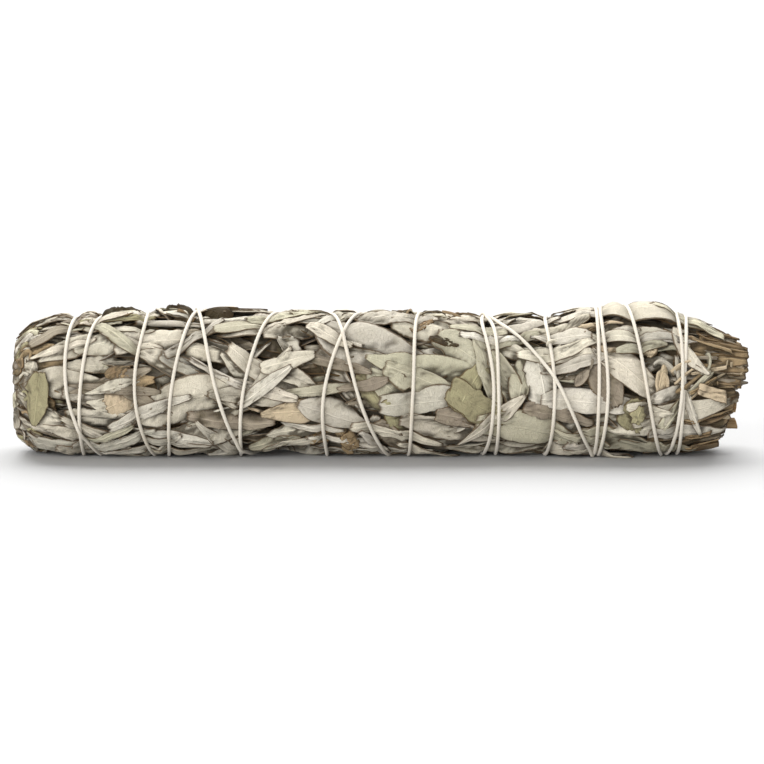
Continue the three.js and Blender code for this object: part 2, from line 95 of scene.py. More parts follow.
# The two ends: how far short of the very end their leaves stop, as (degrees round the bunch, mm)
END_CLEAR = 0.2
END_BUNDLES = 17
CUT_TIPS = [
    (-180, 3), (-120, 6), (-80, 9), (-58, 8), (-36, 5), (-16, 3.6), (4, 2.6), (14, 0), (40, 0), (60, 1.2),
    (90, 4), (130, 2), (180, 3),
]
BLUNT_TIPS = [(-180, 1), (-60, 1.4), (-20, 0.8), (30, 0.3), (90, 1.2), (180, 1)]
ROLLS = 112  # rolled leaves that fill each end
ROLLS_REACH = 17.6  # how far from the axis they stand, in mm
ROLL_THICKNESS = 0.26
STEM_CLEAR = 2.9  # how far they keep from the middle of a stem
GOLDEN_TURN = 2.39996  # spreads them evenly over a round end, in radians

# How the gaps between the leaves are filled: how low a place must lie, in mm, and how many are tried
GAP_ROUNDS = [(2.4, 500), (1.7, 420), (1.2, 300)]
GAP_SPAN = (-108, 100)

# How the leaves lie, in mm
PRESSED_DEPTH = 4.2  # from the outline to the ground that the first leaves are laid on
LEAF_THICKNESS = 0.3
LEAF_GAP = 0.12
TUCKED = 0.9  # the share of a leaf that stays clear of what it lies on
BROAD = 9.0  # the width from which a leaf on the front counts as broad
LOWEST = -1.0  # how far below the outline an outer leaf may lie
LID = 1.0  # how far over the outline a leaf may stand
BITE = 1.0  # how far the twine presses the lid in
KNEE = 0.45  # how softly a leaf bends under the lid
DRAPE = 0.7  # how far over the lid a leaf may rise to clear another
HIDDEN_DEPTH = 0.75  # a leaf that is covered deeper than this all over is left out
FLOOR_CLEAR = 0.05
RIBBON_PROUD = 1.5  # how far over the outline a strip on edge stands

# The core that shows in the gaps, painted dark brown as shade for the inside of the bunch, in mm
CORE_MIDDLE = -3.0
CORE_HALF_LENGTH = 100.5
CORE_INSIDE = 1.1  # how far under the first leaves its surface lies

# The knot at the back, in mm
KNOT_HALF = 0.6  # from its middle to where the twine goes in
KNOT_PROUD = 0.5
KNOT_SIZE = 1.4
TAIL_LENGTH = 6.0
TAIL_DROP = 0.253  # how far round the bunch a tail hangs down, in radians

# The seeds of what is drawn at random beside the strewn leaves. The first is the solids' own.
HIDDEN_LEAVES_SEED = 4
CORE_SEED = 5
STEMS_SEED = 40
HANGING_LEAF_SEED = 3

# Colours, as sRGB. Each strewn or placed leaf has its tone times a random number, BRIGHTNESS on average.
BRIGHTNESS = 1.09
TONES = {
    "pale": (0.80, 0.77, 0.70),
    "white": (0.82, 0.795, 0.74),
    "grey": (0.76, 0.735, 0.68),
    "green": (0.715, 0.695, 0.61),
    "olive": (0.595, 0.57, 0.445),
    "beige": (0.76, 0.69, 0.58),
    "tan": (0.64, 0.55, 0.42),
    "brown": (0.52, 0.44, 0.33),
    "taupe": (0.55, 0.51, 0.45),
    "dark": (0.16, 0.12, 0.06),
}
# A leaf's browned margin, darkened further as a painted shadow line along its edges
MARGIN_BROWN_AND_SHADOW = (0.33, 0.25, 0.15)
# The dark brown that painted shade mixes a leaf's tint towards
PAINTED_SHADE_BROWN = (0.16, 0.13, 0.09)
# The core's dark brown and its darker cracks are painted shade for the inside of the bunch
CORE_SHADE_BROWN = (0.22, 0.18, 0.12)
CORE_CRACK_SHADE = (0.10, 0.08, 0.05)
COTTON = (0.865, 0.84, 0.79)
# Painted shade in the grooves between the twine's plies
COTTON_GROOVE_SHADE = (0.74, 0.68, 0.59)
COTTON_FUZZ = (0.80, 0.75, 0.66)
COTTON_STAIN = (0.83, 0.77, 0.66)
BARK = (0.45, 0.34, 0.22)
BARK_RIDGE = (0.62, 0.53, 0.40)
PITH = (0.72, 0.62, 0.45)
HEARTWOOD = (0.55, 0.43, 0.28)

# The mixtures of tones and of folds that the strewn leaves are drawn from
PLAIN = ("pale", "pale", "grey", "green", "pale", "beige", "white", "grey", "pale", "taupe")
CALM = ("pale", "grey", "green", "pale", "grey", "white", "taupe")
DULL = ("taupe", "brown", "brown", "tan", "olive")
RIM = ("pale", "taupe", "tan", "olive", "grey", "brown", "pale")
CURLED = ("pale", "taupe", "tan", "olive", "grey", "pale", "green")
EDGES = ("pale", "green", "grey", "taupe", "brown", "pale")
WOODY = ("tan", "brown", "taupe", "brown", "beige", "tan")
MIXED_FOLDS = ("flat", "roll", "fold", "roll", "flat")
NARROW_FOLDS = ("roll", "fold", "flat", "roll")

# The stage: where its lights shine from, where the camera looks in metres, and the floor's linear greys
OVERHEAD_FROM = (-0.1, 0.8, 1.0)
FRONT_FROM = (-0.6, -1.0, 0.14)
AIM = (0.0002, 0, AXIS_HEIGHT * MM + 0.0006)
FLOOR_HALF_WIDTH = 60
FLOOR_LIGHT = (0.49, 0.49, 0.49, 1)
FLOOR_DARK = (0.48, 0.48, 0.48, 1)


def linear(colour):
    """A colour from sRGB to the linear values that a shader takes."""
    return [c / 12.92 if c <= 0.04045 else ((c + 0.055) / 1.055) ** 2.4 for c in colour]


def smooth(t):
    """A soft step from 0 to 1 while t goes from 0 to 1."""
    t = np.clip(t, 0, 1)
    return t * t * (3 - 2 * t)


def seeded(seed):
    """The seeded draw from 0 to 1 that the solids use too."""
    mask = 0xFFFFFFFF
    state = seed & mask

    def draw():
        nonlocal state
        state = (state + 0x6D2B79F5) & mask
        t = ((state ^ (state >> 15)) * (state | 1)) & mask
        t = ((t + (((t ^ (t >> 7)) * (t | 61)) & mask)) & mask) ^ t
        return ((t ^ (t >> 14)) & mask) / 4294967296

    return draw


def outline_radius(x, angle):
    """The bunch's outline, in mm from its axis."""
    up = (1 + np.sin(angle)) / 2
    ripple = 0.35 * np.sin(3 * angle + x * 0.05) + 0.25 * np.sin(5 * angle - x * 0.09 + 1)
    top = np.interp(x, *zip(*TOP_OUTLINE))
    under = np.interp(x, *zip(*UNDER_OUTLINE))
    return under + (top - under) * up + ripple


def floor_radius(angle, clear):
    """How far from the axis something may lie without coming nearer to the floor than clear, in mm."""
    down = -np.sin(angle)
    return np.where(down > 0.05, (AXIS_HEIGHT - clear) / np.maximum(down, 0.05), 1e3)


def place(x, angle, radius):
    """Points in metres from places round the bunch."""
    return np.stack([x, -radius * np.cos(angle), AXIS_HEIGHT + radius * np.sin(angle)], axis=-1) * MM


# The heap


class Heap:
    """How far out the laid leaves reach, in mm from the axis, on a grid round the bunch."""

    STEP = 0.6
    ROWS = 240

    def __init__(self):
        self.columns = int(LENGTH / self.STEP) + 3
        x = (np.arange(self.columns) - self.columns // 2) * self.STEP
        angle = np.arange(self.ROWS) / self.ROWS * TURN
        self.x, self.angle = np.meshgrid(x, angle, indexing="ij")
        self.reach = outline_radius(self.x, self.angle) - PRESSED_DEPTH
        self.press = np.zeros_like(self.reach)

    def cells(self, x, angle):
        """The grid cells that places lie in."""
        column = np.clip(np.rint(x / self.STEP).astype(int) + self.columns // 2, 0, self.columns - 1)
        row = np.rint(np.mod(angle, TURN) / TURN * self.ROWS).astype(int) % self.ROWS
        return column, row

    def at(self, x, angle):
        """How far the heap reaches at places."""
        return self.reach[self.cells(x, angle)]

    def pressed(self, x, angle):
        """How much the twine presses on places, from 0 to 1."""
        return self.press[self.cells(x, angle)]

    def raise_to(self, x, angle, radius):
        """Adds what reaches out to radius at places."""
        np.maximum.at(self.reach, self.cells(x, angle), radius)

    def covered(self, x, angle, radius):
        """How much painted shade places get, from 0 to 1: most where something lies over them or close beside
        them, some where they lie deep under the outline.
        """
        high = self.reach
        for axis in (0, 1):
            high = np.maximum(high, np.maximum(np.roll(high, 1, axis), np.roll(high, -1, axis)))
        above = high[self.cells(x, angle)] - radius - LEAF_THICKNESS
        inside = outline_radius(x, angle) - radius
        return 0.85 * smooth((above - 0.1) / 0.9) + 0.2 * smooth((inside - 1.4) / 2.6)

    def hides(self, x, angle, radius):
        """Whether all of a leaf is well under what lies over it."""
        return bool(np.all(self.at(x, angle) - radius > HIDDEN_DEPTH))

    def gaps(self, rng, tries, depth):
        """Places, drawn at random, where the heap is lower than depth mm below the outline, and how low."""
        x, angle = rng.uniform(*GAP_SPAN, tries), rng.uniform(0, TURN, tries)
        around = ((-2, 0), (0, 0), (2, 0), (0, 0.06))
        outline = outline_radius(x, angle)
        low = np.mean([self.at(x + dx, angle + da) - outline for dx, da in around], axis=0)
        keep = low < -depth
        return zip(x[keep], angle[keep], low[keep])

    def press_along(self, x, angle):
        """Marks a dent along a strand, deepest under it and all but gone 5 mm away."""
        reach = 8
        for px, pa in zip(x, angle):
            column, row = self.cells(px, pa)
            columns = np.clip(np.arange(column - reach, column + reach + 1), 0, self.columns - 1)
            rows = np.arange(row - reach, row + reach + 1) % self.ROWS
            spot = np.ix_(columns, rows)
            away = np.mod(self.angle[spot] - pa + math.pi, TURN) - math.pi
            distance = np.hypot(self.x[spot] - px, away * MEAN_RADIUS)
            self.press[spot] = np.maximum(self.press[spot], np.exp(-((distance / 2.1) ** 2)))


# Leaves


def through(places, q):
    """A smooth curve through places, at steps q that count from the first place."""
    p = np.array(places, float)
    last = len(p) - 1
    n = np.minimum(q.astype(int), last - 1)
    t = q - n
    a, b, c, d = p[np.maximum(n - 1, 0)], p[n], p[n + 1], p[np.minimum(n + 2, last)]
    return 0.5 * (2 * b + (c - a) * t + (2 * a - 5 * b + 4 * c - d) * t**2 + (3 * b - a - 3 * c + d) * t**3)


def leaf(x, angle, length, width, turn, tone="pale", kind="flat", **more):
    """Where a leaf lies: its middle, size, the turn of its tip from +X, its tone and how it is folded."""
    return dict(x=x, angle=angle, length=length, width=width, turn=turn * DEG, tone=tone, kind=kind, **more)


def seen(px, py, length, width, turn, tone="pale", kind="flat", **more):
    """The same for a leaf placed by where its middle shows in the photograph. Sizes are in its pixels."""
    height = min(max((AXIS_PY - py) * MM_PER_PX / MEAN_RADIUS, -0.999), 0.999)
    near = 1 + (NEAR_SIDE - 1) * math.sqrt(1 - height * height)
    x = (px - MIDDLE_PX) * MM_PER_PX / near
    angle = math.asin(height) + LOOKS_DOWN * DEG
    return leaf(x, angle, length * MM_PER_PX, width * MM_PER_PX, turn, tone, kind, **more)


# The leaves that can be told apart on the front, from the lowest laid to the topmost.
FRONT_LEAVES = [
    seen(44, 346, 44, 16, -10, "tan", "roll"), seen(57, 333, 66, 14, 178, "grey", "fold"),
    seen(30, 378, 34, 26, 250, "pale", "roll"), seen(96, 364, 60, 22, 185, "pale", "roll"),
    seen(115, 321, 84, 12, 0, "olive", "roll"), seen(187, 325, 96, 17, -4, "grey", "tube"),
    seen(54, 446, 96, 30, 178, "grey"), seen(105, 450, 90, 24, -10, "pale"),
    seen(60, 419, 92, 30, 150, "pale", "roll"), seen(54, 431, 66, 22, 168, "pale", "roll"),
    seen(74, 386, 96, 36, -8, "pale"), seen(69, 346, 64, 26, 208, "pale", "roll"),
    seen(113, 341, 76, 24, 12, "pale", "roll"), seen(161, 341, 84, 32, 8, "pale", ragged=0.5),
    seen(105, 400, 80, 26, -12, "grey", "roll"), seen(120, 404, 62, 22, 176, "pale"),
    seen(148, 391, 46, 24, -42, "tan", "roll"), seen(130, 397, 42, 28, 25, "beige", ragged=0.6),
    seen(115, 419, 92, 26, -8, "pale", "roll"), seen(126, 437, 120, 24, -14, "pale", "fold"),
    seen(222, 352, 66, 26, -6, "pale", "roll"), seen(244, 321, 78, 20, 8, "grey", "roll"),
    seen(192, 378, 112, 24, -31, "pale", "roll"), seen(205, 372, 88, 20, -24, "grey", "roll"),
    seen(187, 402, 104, 46, 196, "pale", blunt=0.4), seen(203, 432, 96, 24, 186, "pale", "roll"),
    seen(216, 428, 88, 26, 10, "pale"), seen(256, 396, 90, 24, 176, "pale"),
    seen(244, 373, 56, 18, 136, "pale", "roll"), seen(277, 326, 112, 20, 18, "pale", "fold"),
    seen(290, 318, 84, 16, 24, "green", "roll"), seen(297, 334, 62, 22, 12, "pale", "roll"),
    seen(282, 378, 112, 26, -27, "pale", "roll"), seen(296, 378, 50, 20, -26, "pale", ragged=0.7),
    seen(276, 417, 62, 8, -19, "beige", "tube"), seen(296, 411, 66, 24, 186, "beige"),
    seen(305, 430, 74, 26, 190, "pale", "roll"), seen(293, 352, 34, 22, -62, "grey", "roll", ragged=0.6),
    seen(343, 384, 82, 24, -58, "pale", "roll"), seen(336, 414, 74, 32, -18, "grey"),
    seen(330, 437, 34, 20, 20, "tan", "roll", ragged=0.7),
    seen(348, 440, 34, 20, -70, "tan", "roll", ragged=0.7),
    seen(371, 438, 60, 24, 78, "grey", ragged=0.4), seen(335, 325, 58, 18, 40, "pale", "roll"),
    seen(443, 329, 96, 30, -8, "pale", "roll"), seen(400, 322, 80, 20, 4, "grey", "roll"),
    seen(385, 352, 130, 52, -22, "grey"), seen(379, 396, 52, 30, -50, "olive", ragged=0.6),
    seen(400, 394, 70, 30, -38, "green"), seen(426, 369, 116, 36, 172, "green"),
    seen(431, 383, 90, 26, -22, "green", "roll"), seen(402, 415, 40, 24, -70, "olive", ragged=0.7),
    seen(449, 441, 112, 24, -5, "pale", "roll"), seen(431, 400, 92, 28, 6, "grey", ragged=0.5),
    seen(395, 436, 52, 26, -52, "taupe", "roll"), seen(452, 428, 100, 30, -16, "pale"),
    seen(461, 415, 44, 20, -8, "taupe", ragged=0.5), seen(485, 342, 88, 26, -14, "pale", "roll"),
    seen(466, 354, 62, 38, -34, "green", ragged=0.4), seen(472, 388, 48, 30, 58, "olive", "roll", ragged=0.5),
    seen(500, 333, 80, 14, -10, "grey", "tube"), seen(490, 372, 84, 24, -74, "green", "roll"),
    seen(513, 385, 78, 26, -60, "green"), seen(526, 374, 62, 26, 78, "green", "roll"),
    seen(480, 404, 62, 32, -30, "olive", ragged=0.5), seen(500, 446, 104, 24, -3, "pale", "roll"),
    seen(530, 428, 104, 38, -13, "green"), seen(545, 388, 64, 36, -80, "white"),
    seen(520, 322, 84, 20, 12, "grey", "roll"), seen(556, 330, 76, 20, 16, "pale", "roll"),
    seen(572, 357, 56, 16, 22, "beige", "tube"), seen(590, 350, 54, 16, -34, "beige", "tube"),
    seen(575, 366, 46, 14, 40, "taupe", "tube"), seen(560, 414, 70, 22, -12, "taupe", "roll"),
    seen(590, 330, 70, 14, 4, "beige", "tube"), seen(598, 339, 66, 14, -6, "taupe", "tube"),
    seen(594, 401, 100, 30, -4, "white"), seen(605, 378, 60, 30, 118, "taupe"),
    seen(575, 440, 60, 28, 36, "pale", ragged=0.4), seen(600, 447, 70, 22, -20, "grey", "roll"),
    seen(628, 366, 70, 26, -34, "grey", "roll"), seen(637, 379, 104, 30, -40, "pale"),
    seen(622, 348, 62, 20, -6, "beige", "roll"), seen(664, 381, 40, 26, 80, "beige", "tube"),
    seen(637, 424, 88, 26, -6, "pale", "roll"), seen(631, 440, 100, 34, -18, "green"),
    seen(636, 412, 30, 26, 76, "olive", ragged=0.8), seen(660, 443, 80, 24, -14, "green", "roll"),
    seen(646, 319, 116, 44, -4, "pale"), seen(645, 340, 70, 18, -4, "pale", "fold"),
    seen(659, 350, 66, 22, 8, "green", "roll"), seen(684, 411, 96, 26, 7, "pale"),
    seen(690, 432, 80, 22, -4, "grey", "roll"), seen(676, 394, 50, 20, 14, "grey", "roll"),
]

# What lies on top of them: small curled bits, the olive leaf on the blunt end, and the cut end's strips
LOOSE_BITS = [
    seen(39, 400, 50, 26, -98, "olive", ragged=0.25, crumple=2.2, proud=0.9, blunt=0, tilt=0.2),
    seen(310, 312, 20, 10, 24, "green", "roll"), seen(640, 411, 16, 14, 70, "olive", ragged=0.8, proud=0.8),
    seen(595, 333, 22, 9, 40, "brown", "tube"), seen(585, 377, 24, 10, 50, "taupe", "roll"),
    seen(652, 350, 20, 14, 60, "beige", "roll", ragged=0.6),
    seen(352, 439, 22, 16, -60, "tan", "roll", ragged=0.7), seen(320, 438, 26, 14, -10, "tan", "roll"),
    seen(424, 327, 26, 12, 30, "brown", "roll"), seen(446, 344, 30, 10, -20, "dark", "roll"),
    seen(140, 380, 30, 16, 0, "tan", "roll", ragged=0.7), seen(120, 372, 26, 14, 20, "brown", "roll"),
    seen(188, 320, 20, 9, -30, "brown", "roll", tilt=0.6, proud=1.2, level=0.5, ragged=0.6, crumple=1.6),
    seen(625, 343, 62, 13, -6, "pale", "roll", proud=1.0),
    seen(668, 344, 64, 15, 4, "grey", "fold", proud=1.0),
    seen(643, 352, 52, 12, 8, "green", "roll", proud=1.1),
    seen(719, 378, 68, 7, 34, "beige", "tube", level=0.7, proud=0.9),
    seen(736, 386, 30, 9, -12, "tan", "tube", proud=0.7),
    seen(724, 343, 60, 10, -9, "tan", "tube", proud=0.5),
    seen(722, 366, 58, 9, 14, "beige", "tube", proud=0.5),
    seen(716, 356, 50, 8, 2, "taupe", "tube", proud=0.5),
    seen(702, 388, 40, 8, 30, "tan", "tube", proud=0.6),
    seen(722, 396, 44, 12, -16, "beige", "roll", proud=0.6, blunt=0.8),
    seen(708, 420, 64, 9, 2, "tan", "tube", proud=0.4),
    seen(712, 434, 48, 9, 4, "brown", "tube", proud=0.4),
    seen(700, 445, 44, 9, 4, "tan", "tube", proud=0.3),
]

# The dark brown leaves that stand up along the top: the way each goes, and how far it rises in mm
STANDING_LEAVES = [
    ([(103, 316), (112, 313), (122, 310), (132, 312), (144, 317)], 2.6),
    ([(168, 316), (173, 311), (184, 313), (197, 317)], 2.0),
    ([(207, 315), (222, 313), (236, 316)], 0.8),
]
STANDING_THICKNESS = 0.5

# Narrow strips that stand on edge and curl: the way each goes in the photograph, its tone and its thickness
RIBBONS = [
    ([(664, 372), (670, 379), (669, 390), (663, 394), (658, 386), (659, 375), (665, 371)], "beige", 0.7),
    ([(711, 349), (713, 357), (712, 366), (707, 373), (702, 373)], "green", 0.7),
    ([(560, 352), (566, 346), (572, 351), (570, 359), (576, 364), (583, 358), (582, 349)], "grey", 0.6),
    ([(583, 366), (589, 358), (595, 362), (593, 370)], "taupe", 0.6),
    ([(548, 343), (556, 340), (563, 343), (561, 350)], "pale", 0.6),
    ([(571, 342), (578, 340), (586, 343), (592, 352)], "taupe", 0.6),
    ([(655, 366), (662, 363), (672, 366), (679, 374)], "grey", 0.6),
    ([(672, 372), (684, 364), (697, 360)], "beige", 0.6),
    ([(676, 384), (688, 374), (702, 364)], "beige", 0.6),
    ([(676, 392), (690, 384), (706, 372)], "brown", 0.8),
    ([(398, 312), (408, 309), (414, 314), (408, 319)], "brown", 0.7),
    ([(424, 312), (433, 310), (440, 315), (450, 318)], "dark", 0.7),
    ([(20, 352), (26, 346), (33, 349), (31, 356)], "tan", 0.7),
    ([(19, 377), (25, 371), (31, 375)], "pale", 0.7),
    ([(20, 398), (26, 392), (30, 398), (26, 404)], "olive", 0.7),
    ([(22, 420), (28, 414), (34, 419)], "tan", 0.7),
    ([(28, 436), (34, 430), (40, 435)], "olive", 0.7),
    ([(24, 336), (32, 331), (38, 335)], "grey", 0.7),
]

# The narrow leaf that hangs over two strands of the twine
HANGING_LEAF = seen(694, 351, 58, 26, -56, "pale", "fold", bend=0.01, proud=0.9)


def hidden_leaves():
    """The broad leaves that the photograph doesn't show, as in the solids."""
    draw = seeded(HIDDEN_LEAVES_SEED)
    leaves = []
    for row, angle in enumerate((114, 143, 172, 201, 232)):
        start = -90 + (row % 2) * 18
        for i in range(5 if row % 2 else 6):
            way = 0 if draw() < 0.4 else 180
            x = start + i * 36 + (draw() - 0.5) * 8
            a = (angle + (draw() - 0.5) * 8) * DEG
            length, width = 39 + draw() * 9, 13.5 + draw() * 3
            leaves.append(leaf(x, a, length, width, way + (draw() - 0.5) * 36, "pale"))
    return leaves


def rising(leaves, low, high):
    """The same leaves, each able to stand a little prouder than those before it."""
    return [dict(spec, proud=low + (high - low) * i / len(leaves)) for i, spec in enumerate(leaves)]


def between_broad(leaves):
    """Those of the leaves that don't cover the middle of one of the broad ones."""
    broad_ones = [broad for broad in FRONT_LEAVES if broad["width"] > BROAD]

    def covers(spec, broad):
        """Whether a leaf's middle lies near a broad one's."""
        away = math.hypot(spec["x"] - broad["x"], (spec["angle"] - broad["angle"]) * MEAN_RADIUS)
        return away <= 0.3 * broad["length"]

    return [spec for spec in leaves if not any(covers(spec, broad) for broad in broad_ones)]


def top_edges(rng, count):
    """Small folded edges that stand up along the top."""
    folds, span = ("roll", "flat", "fold"), (-104, 92)
    edges = random_leaves(rng, count, (76, 104), (5, 13), (3, 5.5), 24, folds, EDGES, span)
    for edge in edges:
        tilt = rng.choice((-1, 1)) * rng.uniform(0.2, 0.9)
        edge.update(tilt=tilt, crumple=1.2, level=rng.uniform(0.1, 0.9), proud=0.9)
    return edges


def with_level(leaves, low, high, shade, proud=-1.7):
    """Leaves laid from a low level to a high one below the outline, their tint darkened by shade as painted
    shade for lying inside.
    """
    levels = np.linspace(low, high, len(leaves))
    return [spec | dict(level=level, shade=shade, proud=proud) for spec, level in zip(leaves, levels)]


def random_leaves(rng, count, angles, lengths, widths, turn_spread, kinds, tones, span=(-106, 98)):
    """Leaves strewn along the bunch, mostly running along it."""
    leaves = []
    for _ in range(count):
        way = 0 if rng.random() < 0.5 else 180
        leaves.append(
            leaf(
                rng.uniform(*span),
                rng.uniform(*angles) * DEG,
                rng.uniform(*lengths),
                rng.uniform(*widths),
                way + rng.normal(0, turn_spread),
                tones[rng.integers(len(tones))],
                kinds[rng.integers(len(kinds))],
                ragged=rng.uniform(0, 0.5),
            )
        )
    return leaves


def end_leaves(rng, count, end, lengths, widths, turn_spread, kinds, tones, tips):
    """Blunt leaves that end together in bundles, at the ends that tips gives in mm from the very end."""
    leaves = []
    for _ in range(count):
        length, turn = rng.uniform(*lengths), rng.normal(0, turn_spread)
        bundle = rng.integers(END_BUNDLES) + 0.5
        angle = (bundle + rng.uniform(-0.7, 0.7)) / END_BUNDLES * 360 - 180
        short = np.interp(bundle / END_BUNDLES * 360 - 180, *zip(*tips)) + abs(rng.normal(0, 0.5))
        if rng.random() < 0.3:
            short += rng.uniform(0.5, 7)
        leaves.append(leaf(
            end * (HALF_LENGTH - END_CLEAR - short - length / 2),
            angle * DEG,
            length,
            rng.uniform(*widths),
            turn if end > 0 else 180 + turn,
            tones[rng.integers(len(tones))],
            kinds[rng.integers(len(kinds))],
            ragged=rng.uniform(0, 0.25),
            blunt=rng.uniform(0.7, 1.0),
            tilt=rng.choice((-1, 1)) * rng.uniform(0.1, 0.6),
            level=rng.uniform(-2.8, -0.6),
            proud=-0.2,
            ends=(-HALF_LENGTH + END_CLEAR, HALF_LENGTH - END_CLEAR),
        ))
    return leaves


def curled_bits(rng, count):
    """Small curled edges of leaf all over the rim of the blunt end."""
    span = (-112, -107)
    bits = random_leaves(rng, count, (-90, 270), (4, 9), (3, 6), 70, ("roll", "flat", "roll"), CURLED, span)
    for bit in bits:
        tilt = rng.choice((-1, 1)) * rng.uniform(0.2, 1.2)
        ragged = rng.uniform(0.2, 0.8)
        level = rng.uniform(-1.6, 0.4)
        bit.update(tilt=tilt, crumple=1.3, proud=0.3, ragged=ragged, level=level)
        bit.update(ends=(-HALF_LENGTH + END_CLEAR, HALF_LENGTH))
    return bits


def cross_section(spec, side, half):
    """How a leaf goes across: its sideways place and its height for side from -1 to 1, in mm."""
    kind = spec["kind"]
    reach = side * half
    if kind == "tube":
        radius = np.maximum(half * 0.36, 0.25)
        wind = (side + 1) * math.pi * 0.88 - math.pi / 2
        wide = radius * (1 + 0.12 * side)
        return wide * np.cos(wind) * 1.15, wide * (1 + np.sin(wind)) * 0.8
    margin = spec["margin"] * smooth((np.abs(side) - 0.66) / 0.34) ** 1.5 * np.minimum(half, 4)
    if kind == "flat":
        crease = spec["crease"] * (np.abs(side) - 0.35) * half
        curl = spec["curl"] * np.abs(side) ** 3 * half
        return reach * (1 - 0.06 * (np.abs(side) > 0.9)), crease + curl + margin
    # One side is rolled in, or folded right over for a fold.
    start = spec["fold_at"] * half
    tight = 0.42 if kind == "fold" else spec["roll"]
    away = reach * spec["fold_side"] - start
    bend = np.clip(away / tight, 0, math.pi if kind == "fold" else 2.4)
    back = np.clip(away - math.pi * tight, 0, None) if kind == "fold" else 0
    across = np.where(away > 0, start + tight * np.sin(bend) - back, reach * spec["fold_side"])
    height = np.where(away > 0, tight * (1 - np.cos(bend)), 0)
    crease = spec["crease"] * (np.abs(side) - 0.35) * half * (away <= 0)
    return across * spec["fold_side"], height + crease + margin * (away <= 0)


def leaf_profile(u, blunt):
    """Half the width at a place along the leaf, as a share of the widest."""
    pointed = 1.03 * np.sin(math.pi * np.clip(u, 0, 1) ** 0.8) ** 1.15
    rounded = np.sqrt(np.clip(1 - (2 * u - 1) ** 4, 0, 1))
    return np.maximum(pointed * (1 - blunt) + rounded * blunt, 0.03)


def settled(spec, rng):
    """The leaf with everything that isn't given drawn at random."""
    folds = {"roll": (0.3, 0.75), "fold": (0.0, 0.3)}.get(spec["kind"], (1, 1))
    drawn = dict(
        crease=rng.normal(0.0, 0.22),
        curl=rng.normal(0.08, 0.16),
        margin=rng.uniform(-0.34, -0.1) if rng.random() < 0.65 else rng.uniform(0.05, 0.25),
        fold_at=rng.uniform(*folds),
        fold_side=1 if rng.random() < 0.5 else -1,
        roll=rng.uniform(0.4, 0.95),
        ragged=rng.uniform(0.0, 0.35),
        blunt=rng.uniform(0, 0.35),
        tilt=rng.normal(0, 0.2),
        pitch=rng.normal(0, 0.03),
        proud=0.0,
        bend=rng.normal(0, 0.0035),
        wave=rng.uniform(0.12, 0.5),
        crumple=rng.uniform(0.35, 1.0),
        level=None,
        ends=(-HALF_LENGTH + abs(rng.normal(0, 1.2)), HALF_LENGTH - 5 - abs(rng.normal(0, 4))),
    )
    return drawn | spec


def torn_margins(rng, rows, torn):
    """How far the two margins of a leaf are out from its even outline, as shares, in straight runs."""
    u = np.linspace(0, 1, rows)
    margins = np.empty((rows, 2))
    for k in range(2):
        knots = np.sort(np.concatenate([[0, 1], rng.uniform(0, 1, 5)]))
        margins[:, k] = np.interp(u, knots, rng.normal(0, 0.1 + 0.2 * torn, len(knots)))
    return np.clip(margins + rng.normal(0, 0.012, margins.shape), -0.6, 0.4)


def creased(long, sideways, width, rng):
    """The height of flat parts that meet in straight creases, most of them along the leaf, in mm."""
    height = 0
    for i in range(5):
        way = rng.normal(math.pi / 2, 0.5) if i < 3 else rng.normal(0.5, 0.5)
        reach = abs(long.max() * math.cos(way)) + width / 2 * abs(math.sin(way))
        away = long * math.cos(way) + sideways * math.sin(way) - rng.uniform(-0.7, 0.7) * reach
        height = height + rng.normal(0, 0.32 if i < 3 else 0.1) * np.abs(away)
    return height - height.mean()


def flat_leaf(spec, rng, cells):
    """A leaf before it is laid: for each point, mm along it, across it folded and unfolded, and up."""
    along, across = cells
    u, side = np.meshgrid(np.linspace(0, 1, along + 1), np.linspace(-1, 1, across + 1), indexing="ij")
    phase = rng.uniform(0, TURN, 4)
    torn = spec["ragged"]
    first, last = 0.02 + torn * 0.3, 0.985 - torn * 0.3
    rip = 0.5 + 0.5 * np.sin(side * 5 + phase[0]) * np.sin(side * 11 + phase[1])
    whole = first + (last - first) * u + torn * 0.08 * rip * (u**5 - (1 - u) ** 5)
    margins = torn_margins(rng, along + 1, torn)[:, (side[0] > 0).astype(int)]
    half = spec["width"] / 2 * leaf_profile(whole, spec["blunt"]) * (1 + margins * np.abs(side) ** 2)
    sideways, height = cross_section(spec, side, half)
    long = (whole - (first + last) / 2) * spec["length"] / max(last - first, 0.5)
    edge_wave = np.sin(long * rng.uniform(0.8, 1.7) + phase[2] + 2 * (side > 0)) * np.abs(side) ** 2
    height = height + spec["wave"] * edge_wave * min(spec["width"] / 7, 1)
    return long, sideways, side * half, height


def turned(spec, long, sideways, round_bunch):
    """Where a flat leaf's points come: mm along the bunch, and the angle round it from the leaf's middle."""
    bowed = sideways + spec["bend"] * (long**2 - (spec["length"] / 3) ** 2)
    c, s = math.cos(spec["turn"]), math.sin(spec["turn"])
    x = spec["x"] + long * c - bowed * s
    low, high = spec["ends"]
    x = np.where(x < low, low + (x - low) * 0.04, np.where(x > high, high + (x - high) * 0.04, x))
    return x, (long * s + bowed * c) / round_bunch


def leaning(spec, depth, long, sideways):
    """The height of a stiff flat leaf that lies across the high places, at a tilt of its own."""
    terms = np.stack([np.ones_like(long), long, sideways], axis=-1).reshape(-1, 3)
    lean = np.linalg.lstsq(terms, depth.ravel(), rcond=None)[0]
    lean[1] = np.clip(lean[1], -0.1, 0.1) + spec["pitch"]
    lean[2] = np.clip(lean[2], -0.2, 0.2) + spec["tilt"]
    return (terms @ lean).reshape(long.shape)


